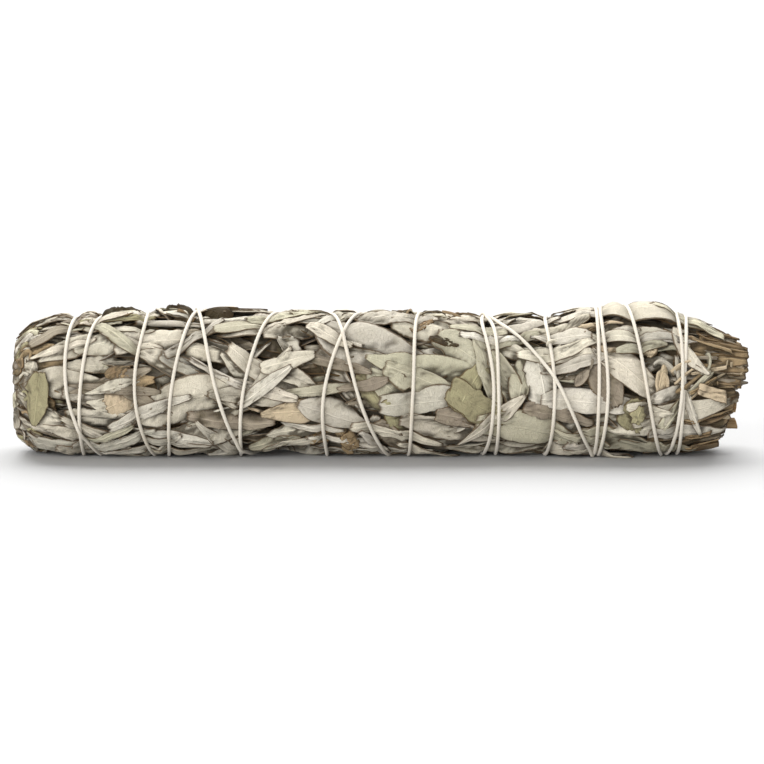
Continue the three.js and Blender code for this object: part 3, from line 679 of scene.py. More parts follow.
def held_down(spec, stand, depth, pressed):
    """The leaf's height once it is clear of most of what it lies on, under the lid and the twine."""
    lies_free = spec["level"] is None
    if lies_free:
        stand = stand + np.quantile(depth + LEAF_GAP - stand, TUCKED)
        stand = stand + max(0, LOWEST - stand.mean())
    else:
        stand = stand + spec["level"] - stand.mean()
    cap = LID - BITE * pressed + spec["proud"] * (1 - pressed)
    over = np.clip(stand - cap + KNEE, 0, 9)
    stand = np.where(stand > cap - KNEE, cap - KNEE * np.exp(-over / KNEE), stand)
    below = np.clip(depth + LEAF_GAP - stand, 0, None) * lies_free
    return np.minimum(stand + below * (1 - smooth((below - 0.6) / 0.8)), cap + DRAPE * (1 - pressed))


def lay(heap, spec, rng, cells):
    """Works out where every point of a leaf lies on the heap, and adds it to the heap."""
    spec = settled(spec, rng)
    round_bunch = outline_radius(spec["x"], spec["angle"])
    long, sideways, unfolded, height = flat_leaf(spec, rng, cells)
    x, away = turned(spec, long, sideways, round_bunch)
    angle = spec["angle"] + away
    outline = outline_radius(x, angle)
    depth = heap.at(x, angle) - outline
    off_the_round = np.minimum(round_bunch * away**2 / 2, 0.9) * 0.7
    facets = np.clip(spec["crumple"] * creased(long, sideways, spec["width"], rng), -1.1, 1.1)
    stand = leaning(spec, depth, long, sideways) + off_the_round + height + facets
    stand = held_down(spec, stand, depth, heap.pressed(x, angle))
    radius = np.minimum(outline + stand, floor_radius(angle, LEAF_THICKNESS + FLOOR_CLEAR))
    # The heap rises at each cell's corner and at its middle.
    for share in (0.0, 0.5):
        spread = [a[:-1, :-1] * (1 - share) + a[1:, 1:] * share for a in (x, angle, radius)]
        heap.raise_to(spread[0], spread[1], spread[2] + LEAF_THICKNESS)
    # A leaf's shade darkens its tint as painted shade for lying deep inside.
    mood = rng.normal(BRIGHTNESS, 0.1) + rng.normal(0, 0.006, 3)
    return dict(
        points=place(x, angle, radius),
        lies=(x, angle, radius),
        mm=np.stack([long, unfolded], axis=-1),
        tint=np.clip(np.array(linear(TONES[spec["tone"]])) * mood * spec.get("shade", 1), 0, 1),
        seed=rng.random(),
        root=spec["angle"] - spec["length"] / 2 * math.sin(spec["turn"]) / round_bunch,
    )


def ribbon(path, tone, rng, rise=0.0, depth=2.2):
    """A strip that stands on edge along a path seen in the photograph, and rises mm higher in its middle."""
    spots = [seen(px, py, 1, 1, 0) for px, py in path]
    last = len(path) - 1
    q = np.linspace(0, last, 5 * len(path))[:, None]
    x = through([spot["x"] for spot in spots], q)
    angle = through([spot["angle"] for spot in spots], q)
    up = np.linspace(-depth, 0, 4)[None, :]
    inside = smooth(np.minimum(q, last - q) * 2.5)
    lift = RIBBON_PROUD - 1.1 * (1 - inside) + 0.3 * np.sin(q * 2 + rng.uniform(0, TURN))
    lift = lift + rise * (np.sin(math.pi * q / last) ** 0.6 + rng.normal(0, 0.07, q.shape) - 0.3)
    radius = outline_radius(x, angle) + lift + up * (1 + 0.3 * np.sin(q * 5))
    ahead, sideways = np.gradient(x, axis=0), np.gradient(angle, axis=0) * AXIS_HEIGHT
    lean = (0.55 + 0.3 * np.sin(q * 1.7 + rng.uniform(0, TURN))) * up / np.hypot(ahead, sideways)
    x, angle = x - sideways * lean, angle + ahead * lean / AXIS_HEIGHT
    return dict(
        points=place(x, angle, np.minimum(radius, floor_radius(angle, 0.6))),
        lies=(x, angle, radius),
        mm=np.stack(np.broadcast_arrays(q * 2, 0.4 + up), axis=-1),
        tint=np.clip(np.array(linear(TONES[tone])) * rng.uniform(0.85, 1.05), 0, 1),
        seed=rng.random(),
        margins=0.5,
    )


def owner_of(angle):
    """The leafy stem whose share of the bunch an angle is in, from 1."""
    share = TURN / LEAFY_STEMS
    return int(round((angle + math.pi / 2) / share)) % LEAFY_STEMS + 1


# Meshes


def placed(name, bm, material):
    """A finished mesh as an object at the origin."""
    mesh = bpy.data.meshes.new(name)
    bm.to_mesh(mesh)
    bm.free()
    for face in mesh.polygons:
        face.use_smooth = True
    piece = bpy.data.objects.new(name, mesh)
    bpy.context.scene.collection.objects.link(piece)
    mesh.materials.append(material)
    return piece


def new_piece(name, bm, material):
    """A closed mesh as an object at the origin, with its faces turned outwards."""
    bmesh.ops.recalc_face_normals(bm, faces=bm.faces)
    return placed(name, bm, material)


def lying_rod(bm, sides, cuts, rings=0):
    """A cylinder of radius 1 along X from -1 to 1, with cuts along it and rings of faces on its two ends."""
    lengthwise = Matrix.Rotation(math.pi / 2, 4, "Y")
    bmesh.ops.create_cone(bm, cap_ends=True, segments=sides, radius1=1, radius2=1, depth=2, matrix=lengthwise)
    caps = [face for face in bm.faces if len(face.verts) > 4]
    for _ in range(rings):
        bmesh.ops.inset_region(bm, faces=caps, thickness=0.2, use_even_offset=True)
    long_edges = [edge for edge in bm.edges if abs(edge.verts[0].co.x - edge.verts[1].co.x) > 1]
    bmesh.ops.subdivide_edges(bm, edges=long_edges, cuts=cuts)


class LeafMesh:
    """One mesh of many leaves, with each leaf's tint and painted shade, and each point's place on its leaf.
    """

    def __init__(self):
        self.mesh = bmesh.new()
        self.tint = self.mesh.verts.layers.float_color.new("tint")
        self.spot = self.mesh.verts.layers.float_vector.new("spot")
        self.edge = self.mesh.verts.layers.float_vector.new("edge")

    def add(self, laid, painted_shade=0.0):
        """Adds a leaf, with painted shade: browner and darker where it is shut in."""
        points = laid["points"]
        margins = laid.get("margins", 1)
        # Painted shade: the tint goes towards dark brown where the leaf is shut in.
        dark = np.array(linear(PAINTED_SHADE_BROWN))
        painted_shade = np.broadcast_to(painted_shade, points.shape[:2])[..., None]
        tints = laid["tint"] * (1 - painted_shade) + dark * painted_shade
        along, across = points.shape[0] - 1, points.shape[1] - 1
        made = bmesh.ops.create_grid(self.mesh, x_segments=along, y_segments=across, size=1)["verts"]
        for vert in made:
            i = round((vert.co.x + 1) / 2 * along)
            j = round((vert.co.y + 1) / 2 * across)
            vert.co = points[i, j]
            vert[self.tint] = (*tints[i, j], 1)
            vert[self.spot] = (*laid["mm"][i, j], laid["seed"] * 50)
            vert[self.edge] = (i / along, abs(j / across * 2 - 1) * margins, laid["seed"])

    def finish(self, name, material, thickness, outwards=1.0):
        """The leaves as one piece, each with its thickness in mm."""
        piece = placed(name, self.mesh, material)
        thick = piece.modifiers.new("leaf thickness", "SOLIDIFY")
        thick.thickness = thickness * MM
        thick.offset = outwards
        thick.use_even_offset = False
        thick.use_rim = True
        return piece


# The twine


def crossing(top_px, middle_px, under_px):
    """Where one turn of the twine crosses the front: on the top edge, at the middle and underneath."""
    places = (top_px, MIDDLE_PX + (middle_px - MIDDLE_PX) / NEAR_SIDE, under_px)
    return [(px - MIDDLE_PX) * MM_PER_PX for px in places]


# The turns in order, from the knot to the blunt end and back
TWINE_TURNS = [
    crossing(687, 686, 678), crossing(677, 684, 662), crossing(602, 610, 597), crossing(597, 601, 592),
    crossing(547, 557, 543), crossing(484, 496, 481), crossing(421, 415, 408), crossing(361, 326, 329),
    crossing(277, 245, 242), crossing(199, 173, 169), crossing(104, 82, 87), crossing(77, 69, 112),
    crossing(151, 137, 164), crossing(201, 219, 262), crossing(334, 360, 401), crossing(490, 501, 497),
    crossing(495, 566, 602), crossing(627, 650, 667),
]
TWINE_STEP = 1.5  # degrees round the bunch from one point to the next
TWINE_STANDS = 0.62  # how far over the outline its middle runs, in mm
TWINE_OVER = 1.05  # how much higher it passes over an earlier strand


def twine_route():
    """The twine's middle line as (x, angle, radius), from the knot on the back to the knot again."""
    places = [KNOT_ALONG + KNOT_HALF]
    for i, (top, middle, under) in enumerate(TWINE_TURNS):
        last = i + 1 == len(TWINE_TURNS)
        behind = KNOT_ALONG - KNOT_HALF if last else (under + TWINE_TURNS[i + 1][0]) / 2
        places += [top, middle, under, behind]
    q = np.arange(0, len(places) - 1 + 1e-9, TWINE_STEP / 90)
    x = through(places, q)
    angle = math.pi - q * math.pi / 2
    radius = outline_radius(x, angle) + TWINE_STANDS
    window = np.hanning(25)
    radius = np.convolve(np.pad(radius, 12, mode="edge"), window / window.sum(), mode="valid")
    over, under = np.zeros_like(x), np.zeros_like(x)
    turn = int(360 / TWINE_STEP)
    for shift in range(turn, len(x), turn):
        near = 1 - smooth((np.abs(x[shift:] - x[:-shift]) - 0.5) / 0.8)
        over[shift:] = np.maximum(over[shift:], near)
        under[:-shift] = np.maximum(under[:-shift], near)
    ease = np.hanning(11)
    over = np.convolve(over, ease / ease.sum(), mode="same")
    under = np.convolve(under, ease / ease.sum(), mode="same")
    lowest = floor_radius(angle, TWINE_RADIUS + 0.03) - 0.9 * under * (1 - over)
    return x, angle, np.minimum(radius + TWINE_OVER * over, lowest)


def twine_tube(bm, points, radius, sides, twist, layer):
    """A tube of three twisted plies along points, closed at both ends."""
    points = np.asarray(points)
    run = np.concatenate([[0], np.cumsum(np.linalg.norm(np.diff(points, axis=0), axis=1))])
    tangents = np.gradient(points, axis=0)
    tangents /= np.linalg.norm(tangents, axis=1)[:, None]
    outward = points - np.array([0, 0, AXIS_HEIGHT * MM])
    outward[:, 0] = 0
    outward -= (outward * tangents).sum(axis=1)[:, None] * tangents
    outward /= np.linalg.norm(outward, axis=1)[:, None]
    sideways = np.cross(tangents, outward)
    last = len(points) - 1
    made = bmesh.ops.create_grid(bm, x_segments=last, y_segments=sides, size=1)["verts"]
    ends = ([], [])
    seam = []
    for vert in made:
        k, j = round((vert.co.x + 1) / 2 * last), round((vert.co.y + 1) / 2 * sides)
        around = (j % sides) / sides * TURN
        ply = math.cos(3 * (around - run[k] / (twist * MM) * TURN))
        r = radius * (0.94 + 0.09 * ply)
        vert.co = points[k] + outward[k] * (r * math.cos(around)) + sideways[k] * (r * math.sin(around))
        vert[layer] = (run[k] / MM, math.cos(around), math.sin(around))
        if k in (0, last) and j < sides:
            ends[k > 0].append((j, vert))
        if j in (0, sides):
            seam.append(vert)
    bmesh.ops.remove_doubles(bm, verts=seam, dist=1e-7)
    for ring in ends:
        in_turn = sorted(ring, key=lambda item: item[0])
        bmesh.ops.contextual_create(bm, geom=[vert for _, vert in in_turn if vert.is_valid])


# Materials


class Nodes:
    """Short names for a material's nodes and links."""

    def __init__(self, name):
        self.material = bpy.data.materials.new(name)
        self.material.use_nodes = True
        self.tree = self.material.node_tree
        self.shader = self.tree.nodes["Principled BSDF"]

    def node(self, kind, **settings):
        """A new node with its settings."""
        made = self.tree.nodes.new(kind)
        for key, value in settings.items():
            setattr(made, key, value)
        return made

    def join(self, source, target):
        """Links an output to an input."""
        self.tree.links.new(source, target)

    def feed(self, socket, value):
        """Links a socket, or sets a plain value."""
        if isinstance(value, bpy.types.NodeSocket):
            self.join(value, socket)
        else:
            socket.default_value = value

    def attribute(self, name):
        """The node that reads one of the piece's own attributes."""
        return self.node("ShaderNodeAttribute", attribute_name=name)

    def split(self, vector):
        """The three parts of a vector."""
        made = self.node("ShaderNodeSeparateXYZ")
        self.join(vector, made.inputs[0])
        return made.outputs

    def maths(self, operation, a, b=0.0, c=0.0):
        """The result of one sum."""
        made = self.node("ShaderNodeMath", operation=operation)
        for socket, value in zip(made.inputs, (a, b, c)):
            self.feed(socket, value)
        return made.outputs[0]

    def ramp(self, value, low, high, start=0.0, end=1.0):
        """A smooth step from start to end as value goes from low to high."""
        made = self.node("ShaderNodeMapRange", interpolation_type="SMOOTHSTEP")
        for socket, number in zip(made.inputs, (value, low, high, start, end)):
            self.feed(socket, number)
        return made.outputs[0]

    def noise(self, vector, scale, detail=4.0, rough=0.55, distortion=0.0):
        """Cloudy noise from 0 to 1."""
        made = self.node("ShaderNodeTexNoise")
        self.join(vector, made.inputs["Vector"])
        made.inputs["Scale"].default_value = scale
        made.inputs["Detail"].default_value = detail
        made.inputs["Roughness"].default_value = rough
        made.inputs["Distortion"].default_value = distortion
        return made.outputs["Fac"]

    def cells(self, vector, scale):
        """The distance to the nearest border between random cells."""
        made = self.node("ShaderNodeTexVoronoi", feature="DISTANCE_TO_EDGE")
        self.join(vector, made.inputs["Vector"])
        made.inputs["Scale"].default_value = scale
        return made.outputs["Distance"]

    def stretched(self, vector, scale):
        """The vector with each part times its own scale."""
        made = self.node("ShaderNodeMapping")
        self.join(vector, made.inputs["Vector"])
        made.inputs["Scale"].default_value = scale
        return made.outputs[0]

    def mix(self, share, a, b, blend="MIX"):
        """Colour a with a share of colour b."""
        made = self.node("ShaderNodeMix", data_type="RGBA", blend_type=blend)
        self.feed(made.inputs["Factor"], share)
        for socket, value in zip((made.inputs[6], made.inputs[7]), (a, b)):
            self.feed(socket, value)
        return made.outputs[2]

    def bump(self, heights):
        """Bumps on top of each other: (height, strength, distance in mm)."""
        normal = None
        for height, strength, distance in heights:
            made = self.node("ShaderNodeBump")
            made.inputs["Strength"].default_value = strength
            made.inputs["Distance"].default_value = distance * MM
            self.join(height, made.inputs["Height"])
            if normal is not None:
                self.join(normal, made.inputs["Normal"])
            normal = made.outputs[0]
        self.join(normal, self.shader.inputs["Normal"])

    def surface(self, colour, roughness, sheen=0.0):
        """A matt finish, with its even values on the shader's own sockets."""
        self.join(colour, self.shader.inputs["Base Color"])
        self.feed(self.shader.inputs["Roughness"], roughness)
        self.shader.inputs["Sheen Weight"].default_value = sheen
        self.shader.inputs["Specular IOR Level"].default_value = 0.15


def shade(colour):
    """A colour from sRGB as a colour socket takes it."""
    return (*linear(colour), 1)


def leaf_veins(n, spot):
    """How much of a vein each place on a leaf has: midrib, side veins and the fine net between them."""
    long, wide, _ = n.split(spot)
    off_rib = n.maths("ABSOLUTE", wide)
    rib = n.ramp(off_rib, 0.0, 0.34, 1.0, 0.0)
    wander = n.maths("MULTIPLY", n.noise(spot, 0.5, 2), 1.6)
    slant = n.maths("MULTIPLY_ADD", off_rib, -1.05, n.maths("ADD", long, wander))
    branch = n.maths("PINGPONG", slant, 1.55)
    fading = n.ramp(off_rib, 0.2, 4.5, 1.0, 0.25)
    side_vein = n.maths("MULTIPLY", n.ramp(branch, 0.0, 0.2, 1.0, 0.0), fading)
    net = n.ramp(n.cells(spot, 0.75), 0.0, 0.09, 1.0, 0.0)
    fainter = n.maths("MAXIMUM", n.maths("MULTIPLY", side_vein, 0.75), n.maths("MULTIPLY", net, 0.5))
    return n.maths("MAXIMUM", rib, fainter)


def margin_brown_and_shadow(n, spot):
    """How browned each place is by the leaf's two margins and its two ends; the brown is partly real and
    partly a painted shadow line along the edges.
    """
    along, off_middle, _ = n.split(n.attribute("edge").outputs["Vector"])
    uneven = n.maths("MULTIPLY", n.noise(spot, 0.9, 3), 0.12)
    margin = n.ramp(n.maths("ADD", off_middle, uneven), 0.93, 1.02)
    to_end = n.maths("ABSOLUTE", n.maths("MULTIPLY_ADD", along, 2.0, -1.0))
    uneven = n.maths("MULTIPLY", n.noise(spot, 0.7, 3), 0.06)
    tip = n.ramp(n.maths("ADD", to_end, uneven), 0.965, 1.03)
    return n.maths("MULTIPLY", n.maths("MAXIMUM", margin, tip), 0.85)


def leaf_material():
    """Felted dry leaf: tint with its painted shade, midrib and veins, browned margins with a painted shadow
    line, mottling, specks and a fine nap.
    """
    n = Nodes("sage_leaf")
    tint = n.attribute("tint").outputs["Color"]
    spot = n.attribute("spot").outputs["Vector"]
    blotch = n.noise(spot, 0.22, 3)
    grain = n.noise(spot, 1.4, 5, 0.65)
    nap = n.noise(n.stretched(spot, (7, 7, 1)), 1.0, 3, 0.7)
    wrinkle = n.noise(n.stretched(spot, (0.5, 1.6, 1)), 1.0, 4, 0.6, 0.8)
    speck = n.ramp(n.noise(spot, 2.2, 2), 0.71, 0.76)
    veins = leaf_veins(n, spot)
    colour = n.mix(n.ramp(blotch, 0.35, 0.7, 0.0, 0.28), tint, n.mix(0.5, tint, shade(TONES["olive"])))
    colour = n.mix(n.ramp(grain, 0.3, 0.75, 0.22, 0.0), colour, n.mix(0.55, colour, shade(TONES["brown"])))
    colour = n.mix(n.maths("MULTIPLY", veins, 0.3), colour, tint, blend="ADD")
    # Browned margins and ends, darkened further as a painted shadow line
    colour = n.mix(margin_brown_and_shadow(n, spot), colour, shade(MARGIN_BROWN_AND_SHADOW))
    colour = n.mix(n.maths("MULTIPLY", speck, 0.35), colour, shade(TONES["brown"]))
    n.surface(colour, 0.9, 0.04)
    n.bump([(wrinkle, 0.6, 0.4), (veins, 0.8, 0.3), (grain, 0.6, 0.2), (nap, 0.8, 0.1)])
    return n.material


def core_material():
    """Crumbled leaf inside the bunch, painted dark brown as shade, with painted shade darker still in its
    cracks.
    """
    n = Nodes("core_painted_shade")
    where = n.node("ShaderNodeTexCoord").outputs["Object"]
    flakes = n.cells(n.stretched(where, (120, 420, 420)), 1.0)
    grain = n.noise(where, 900, 5)
    colour = n.mix(n.ramp(grain, 0.3, 0.7), shade(CORE_SHADE_BROWN), shade(TONES["brown"]))
    # Painted shade in the cracks between the flakes
    colour = n.mix(n.ramp(flakes, 0.0, 0.2, 0.8, 0.0), colour, shade(CORE_CRACK_SHADE))
    n.surface(colour, 0.95)
    n.bump([(flakes, 0.6, 0.6), (grain, 0.5, 0.2)])
    return n.material


def twine_material(cotton):
    """Soft off-white cotton: three plies with painted shade in the grooves between them, each of fine fibres
    along it.
    """
    n = Nodes("cotton_twine")
    along, ahead, beside = n.split(n.attribute("strand").outputs["Vector"])
    around = n.maths("DIVIDE", n.maths("ARCTAN2", beside, ahead), TURN)
    where = n.node("ShaderNodeTexCoord").outputs["Object"]
    turns = n.maths("MULTIPLY_ADD", along, 1 / 1.15, n.maths("MULTIPLY", around, 3.0))
    groove = n.maths("PINGPONG", turns, 0.5)
    fine = n.maths("PINGPONG", n.maths("MULTIPLY_ADD", along, 4.0, n.maths("MULTIPLY", around, 7.0)), 0.5)
    fuzz = n.noise(where, 2600, 4, 0.7)
    stain = n.noise(where, 60, 3)
    # Painted shade along the grooves between the plies
    colour = n.mix(n.ramp(groove, 0.0, 0.14, 0.28, 0.0), (*cotton, 1), shade(COTTON_GROOVE_SHADE))
    colour = n.mix(n.ramp(fuzz, 0.35, 0.7, 0.3, 0.0), colour, shade(COTTON_FUZZ))
    colour = n.mix(n.ramp(stain, 0.5, 0.75, 0.0, 0.3), colour, shade(COTTON_STAIN))
    n.surface(colour, 0.92, 0.25)
    n.bump([(groove, 0.2, 0.2), (fine, 0.25, 0.06), (fuzz, 0.5, 0.08)])
    return n.material


def stem_material(bark_colour, pith_colour):
    """Dry ridged bark, with pale pith where the stem is cut."""
    n = Nodes("dry_stem")
    where = n.node("ShaderNodeTexCoord").outputs["Object"]
    ridges = n.noise(n.stretched(where, (90, 1500, 1500)), 1.0, 5, 0.6)
    grain = n.noise(where, 1200, 4)
    is_cut, off_middle, _ = n.split(n.attribute("cut").outputs["Vector"])
    bark = n.mix(n.ramp(ridges, 0.35, 0.65), (*bark_colour, 1), shade(BARK_RIDGE))
    pith = n.mix(n.ramp(off_middle, 0.25, 0.8), (*pith_colour, 1), shade(HEARTWOOD))
    pith = n.mix(n.ramp(grain, 0.4, 0.7, 0.0, 0.5), pith, (*bark_colour, 1))
    n.surface(n.mix(is_cut, bark, pith), 0.85)
    n.bump([(ridges, 0.6, 0.3), (grain, 0.3, 0.1)])
    return n.material


def floor_material():
    """A matt white studio sweep."""
    n = Nodes("studio_white")
    where = n.node("ShaderNodeTexCoord").outputs["Object"]
    grain = n.noise(where, 30, 2)
    n.surface(n.mix(n.ramp(grain, 0.3, 0.7, 0.0, 0.03), FLOOR_LIGHT, FLOOR_DARK), 0.9)
    return n.material


# Settings, as shown in the sidebar


class SAGE_PG_bunch(bpy.types.PropertyGroup):
    """How the leaves are laid, and the stems' colours."""

    seed: IntProperty(name="Seed", description="Changes how the strewn leaves fall", default=12)
    under_leaves: IntProperty(name="Under leaves", description="Leaves pressed deep inside", default=250)
    outer_leaves: IntProperty(name="Outer leaves", description="Leaves strewn over them", default=230)
    thickness: FloatProperty(
        name="Leaf thickness", description="Of one dry leaf", default=LEAF_THICKNESS * MM, unit="LENGTH"
    )
    bark: FloatVectorProperty(
        name="Bark", description="Colour of the stems", default=linear(BARK), subtype="COLOR"
    )
    pith: FloatVectorProperty(
        name="Pith", description="Colour where a stem is cut", default=linear(PITH), subtype="COLOR"
    )


class SAGE_PG_twine(bpy.types.PropertyGroup):
    """The cotton twine."""

    radius: FloatProperty(name="Radius", description="Of the twine", default=TWINE_RADIUS * MM, unit="LENGTH")
    twist: FloatProperty(name="Twist", description="Of one turn of a ply", default=0.0042, unit="LENGTH")
    sides: IntProperty(name="Sides", description="Faces round the twine", default=9)
    cotton: FloatVectorProperty(
        name="Cotton", description="Colour of the twine", default=linear(COTTON), subtype="COLOR"
    )


class SAGE_PG_stage(bpy.types.PropertyGroup):
    """Camera and lights."""

    distance: FloatProperty(
        name="Distance", description="From the camera to the bunch", default=1.2, unit="LENGTH"
    )
    elevation: FloatProperty(
        name="Elevation", description="Of the camera", default=LOOKS_DOWN * DEG, subtype="ANGLE"
    )
    frame_width: FloatProperty(
        name="View width", description="What the view spans at the bunch", default=0.2358, unit="LENGTH"
    )
    sky: FloatProperty(name="Surround", description="Strength of the light from all round", default=0.5)
    overhead: FloatProperty(name="Overhead", description="Strength of the light from above", default=5.5)
    front: FloatProperty(name="Front", description="Strength of the light from the front", default=3.8)
    softness: FloatProperty(
        name="Softness", description="Width of the lights", default=66 * DEG, subtype="ANGLE"
    )


# What the steps share

heaps = {}


def shared_heap():
    """The one heap that the leaves are laid on, with the twine's dents."""
    if "bunch" not in heaps:
        heap = Heap()
        x, angle, _ = twine_route()
        heap.press_along(x[::2], angle[::2])
        heaps["bunch"] = heap
    return heaps["bunch"]


def shared_leaf_material():
    """The one leaf material, made when it is first asked for."""
    return bpy.data.materials.get("sage_leaf") or leaf_material()


def laying_order(bunch, rng):
    """The leaves in batches from the deepest to the topmost, each with its cells along and across a leaf."""
    all_round, back, top, front = (-90, 270), (104, 262), (66, 106), (-60, 78)
    flat_folds, rim_folds = ("flat", "roll"), ("roll", "fold", "flat")
    cut_folds = ("tube", "roll", "fold", "tube")
    under = random_leaves(rng, bunch.under_leaves, all_round, (20, 40), (7, 14), 20, flat_folds, DULL)
    middle = random_leaves(rng, bunch.outer_leaves, all_round, (12, 30), (4, 9), 22, MIXED_FOLDS, PLAIN)
    on_edge = random_leaves(rng, 300, all_round, (12, 28), (3.5, 6.5), 14, flat_folds, PLAIN)
    on_edge = with_level(on_edge, -2.6, -1.4, 0.9)
    for spec in on_edge:
        spec["tilt"] = rng.choice((-1, 1)) * rng.uniform(0.35, 1.0)
    cut_end = end_leaves(rng, 170, 1, (14, 26), (4, 7), 5, cut_folds, WOODY, CUT_TIPS)
    blunt_end = end_leaves(rng, 110, -1, (8, 16), (4, 8), 24, rim_folds, RIM, BLUNT_TIPS)
    on_top = random_leaves(rng, 50, top, (12, 26), (4, 8), 12, MIXED_FOLDS, PLAIN)
    front_strips = random_leaves(rng, 90, front, (14, 28), (3, 5.5), 24, NARROW_FOLDS, CALM)
    standing = top_edges(rng, 34)
    behind = random_leaves(rng, bunch.outer_leaves // 2, back, (18, 38), (5, 11), 26, MIXED_FOLDS, PLAIN)
    back_strips = random_leaves(rng, 80, back, (14, 28), (3, 5.5), 26, NARROW_FOLDS, CALM)
    # The under, middle and on-edge leaves get painted shade, darkest for the deepest.
    return [
        (with_level(under, -5.4, -3.6, 0.3), 8, 5),
        (with_level(middle, -3.4, -1.9, 0.6), 14, 6),
        (on_edge, 12, 4),
        (cut_end, 12, 8),
        (blunt_end, 10, 8),
        (rising(hidden_leaves(), -0.8, -0.2), 20, 10),
        (on_top, 16, 8),
        (rising(FRONT_LEAVES, 0.0, 0.6), 22, 10),
        (rising(between_broad(front_strips), 0.4, 0.8), 14, 8),
        (standing, 10, 6),
        (rising(behind, 0.0, 0.7), 16, 8),
        (rising(back_strips, 0.6, 1.1), 12, 6),
        (curled_bits(rng, 110), 8, 6),
    ]


def fill_gaps(heap, rng):
    """Lays narrow leaves over the places that the heap still leaves low, the lowest first."""
    filled = []
    for depth, tries in GAP_ROUNDS:
        for x, angle, low in heap.gaps(rng, tries, depth):
            spec = random_leaves(rng, 1, (0, 0), (11, 22), (3, 6), 22, NARROW_FOLDS, CALM)[0]
            tilt = rng.choice((-1, 1)) * rng.uniform(0.2, 0.9)
            spec.update(x=x, angle=angle, level=low + rng.uniform(0.3, 0.9), proud=-0.6, tilt=tilt)
            filled.append(lay(heap, spec, rng, (12, 6)))
    return filled


def rolled_leaf(rng, end, y, z, size, tones):
    """One rolled leaf that comes out of an end, as a spiral sheet."""
    along, across = 5, 16
    u, side = np.meshgrid(np.linspace(0, 1, along + 1), np.linspace(0, 1, across + 1), indexing="ij")
    length = rng.uniform(16, 26)
    tips = BLUNT_TIPS if end < 0 else CUT_TIPS
    short = np.interp(math.atan2(z, -y) / DEG, *zip(*tips))
    tip = HALF_LENGTH - 0.4 - short - abs(rng.normal(0, 1.6))
    turns = rng.uniform(0.8, 1.7)
    wind = side * turns * TURN + rng.uniform(0, TURN)
    squash, lean = rng.uniform(0.35, 0.8), rng.uniform(0, math.pi)
    radius = size * (0.35 + 0.65 * side) * (1 + 0.12 * np.sin(u * 9 + side * 6))
    a, b = radius * np.cos(wind), radius * np.sin(wind) * squash
    crumple = 0.12 * size
    a = a + crumple * np.sin(side * 19 + u * 5) + rng.normal(0, 0.04, a.shape)
    b = b + crumple * np.cos(side * 15 + u * 7) + rng.normal(0, 0.04, a.shape)
    rip = 0.9 * np.sin(side * 11 + lean) * np.sin(side * 23) + rng.normal(0, 0.12, side.shape)
    x = end * (tip - (1 - u) * length - np.clip(rip, 0, 1) * u**4)
    draw_in = 1 - 0.10 * smooth(u) * (end > 0)
    py = y * draw_in + a * math.cos(lean) - b * math.sin(lean)
    pz = z * draw_in + a * math.sin(lean) + b * math.cos(lean)
    angle, radius = np.arctan2(pz, -py), np.hypot(py, pz)
    radius = np.minimum(radius, outline_radius(x, angle) - 0.3)
    radius = np.minimum(radius, floor_radius(angle, 0.4))
    tone = np.array(linear(TONES[tones[rng.integers(len(tones))]])) * rng.uniform(0.8, 1.1)
    return dict(
        points=place(x, angle, radius),
        mm=np.stack([u * length, (side - 0.5) * size * 6], axis=-1),
        tint=np.clip(tone, 0, 1),
        seed=rng.random(),
    )


def curled_strips(rng):
    """The strips and dark leaves that stand on edge, as a mesh for each thickness in mm."""
    curls = {}
    for path, tone, thickness in RIBBONS:
        # Each strip gets painted shade, darkest along its lower edge inside the bunch
        curls.setdefault(thickness, LeafMesh()).add(ribbon(path, tone, rng), np.linspace(0.8, 0, 4))
    for path, rise in STANDING_LEAVES:
        curls.setdefault(STANDING_THICKNESS, LeafMesh()).add(ribbon(path, "dark", rng, rise, depth=5))
    return curls


# The steps


class SAGE_OT_core(bpy.types.Operator):
    """Makes the pressed leaf, painted dark as shade, that shows in the gaps between the outer leaves."""

    bl_idname = "sage.core"
    bl_label = "Pressed Core"

    def execute(self, context):
        bm = bmesh.new()
        lying_rod(bm, sides=72, cuts=110)
        rng = np.random.default_rng(CORE_SEED)
        for vert in bm.verts:
            x = CORE_MIDDLE + vert.co.x * CORE_HALF_LENGTH
            angle = math.atan2(vert.co.z, -vert.co.y)
            lumps = 0.5 * math.sin(7 * angle + x * 0.31) + 0.4 * math.sin(13 * angle - x * 0.53)
            surface = float(outline_radius(x, angle)) - PRESSED_DEPTH - CORE_INSIDE
            vert.co = place(x, angle, surface + lumps + rng.uniform(-0.2, 0.2))
        piece = new_piece("pressed_core", bm, core_material())
        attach(piece, "root")
        return {"FINISHED"}


class SAGE_OT_leaves(bpy.types.Operator):
    """Lays all the leaves one by one and makes one piece of them for each leafy stem."""

    bl_idname = "sage.leaves"
    bl_label = "Leaves"

    def execute(self, context):
        bunch = context.scene.sage_bunch
        rng = np.random.default_rng(bunch.seed)
        heap = shared_heap()
        order = laying_order(bunch, rng)
        laid = [lay(heap, spec, rng, (along, across)) for batch, along, across in order for spec in batch]
        laid += fill_gaps(heap, rng)
        laid += [lay(heap, spec, rng, (16, 10)) for spec in LOOSE_BITS]
        meshes = {k: LeafMesh() for k in range(1, LEAFY_STEMS + 1)}
        for one in laid:
            x, angle, radius = one["lies"]
            if heap.hides(x, angle, radius):
                continue
            # Painted shade where other leaves lie over or beside a leaf, and a painted contact shadow beside
            # the twine
            painted_shade = heap.covered(x, angle, radius) + 0.35 * heap.pressed(x, angle)
            meshes[owner_of(one["root"])].add(one, np.clip(painted_shade, 0, 0.93))
        for k, made in meshes.items():
            piece = made.finish(f"sage_leaves_{k}", shared_leaf_material(), bunch.thickness / MM)
            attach(piece, "root")
            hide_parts(f"leaves_{k}")
        return {"FINISHED"}


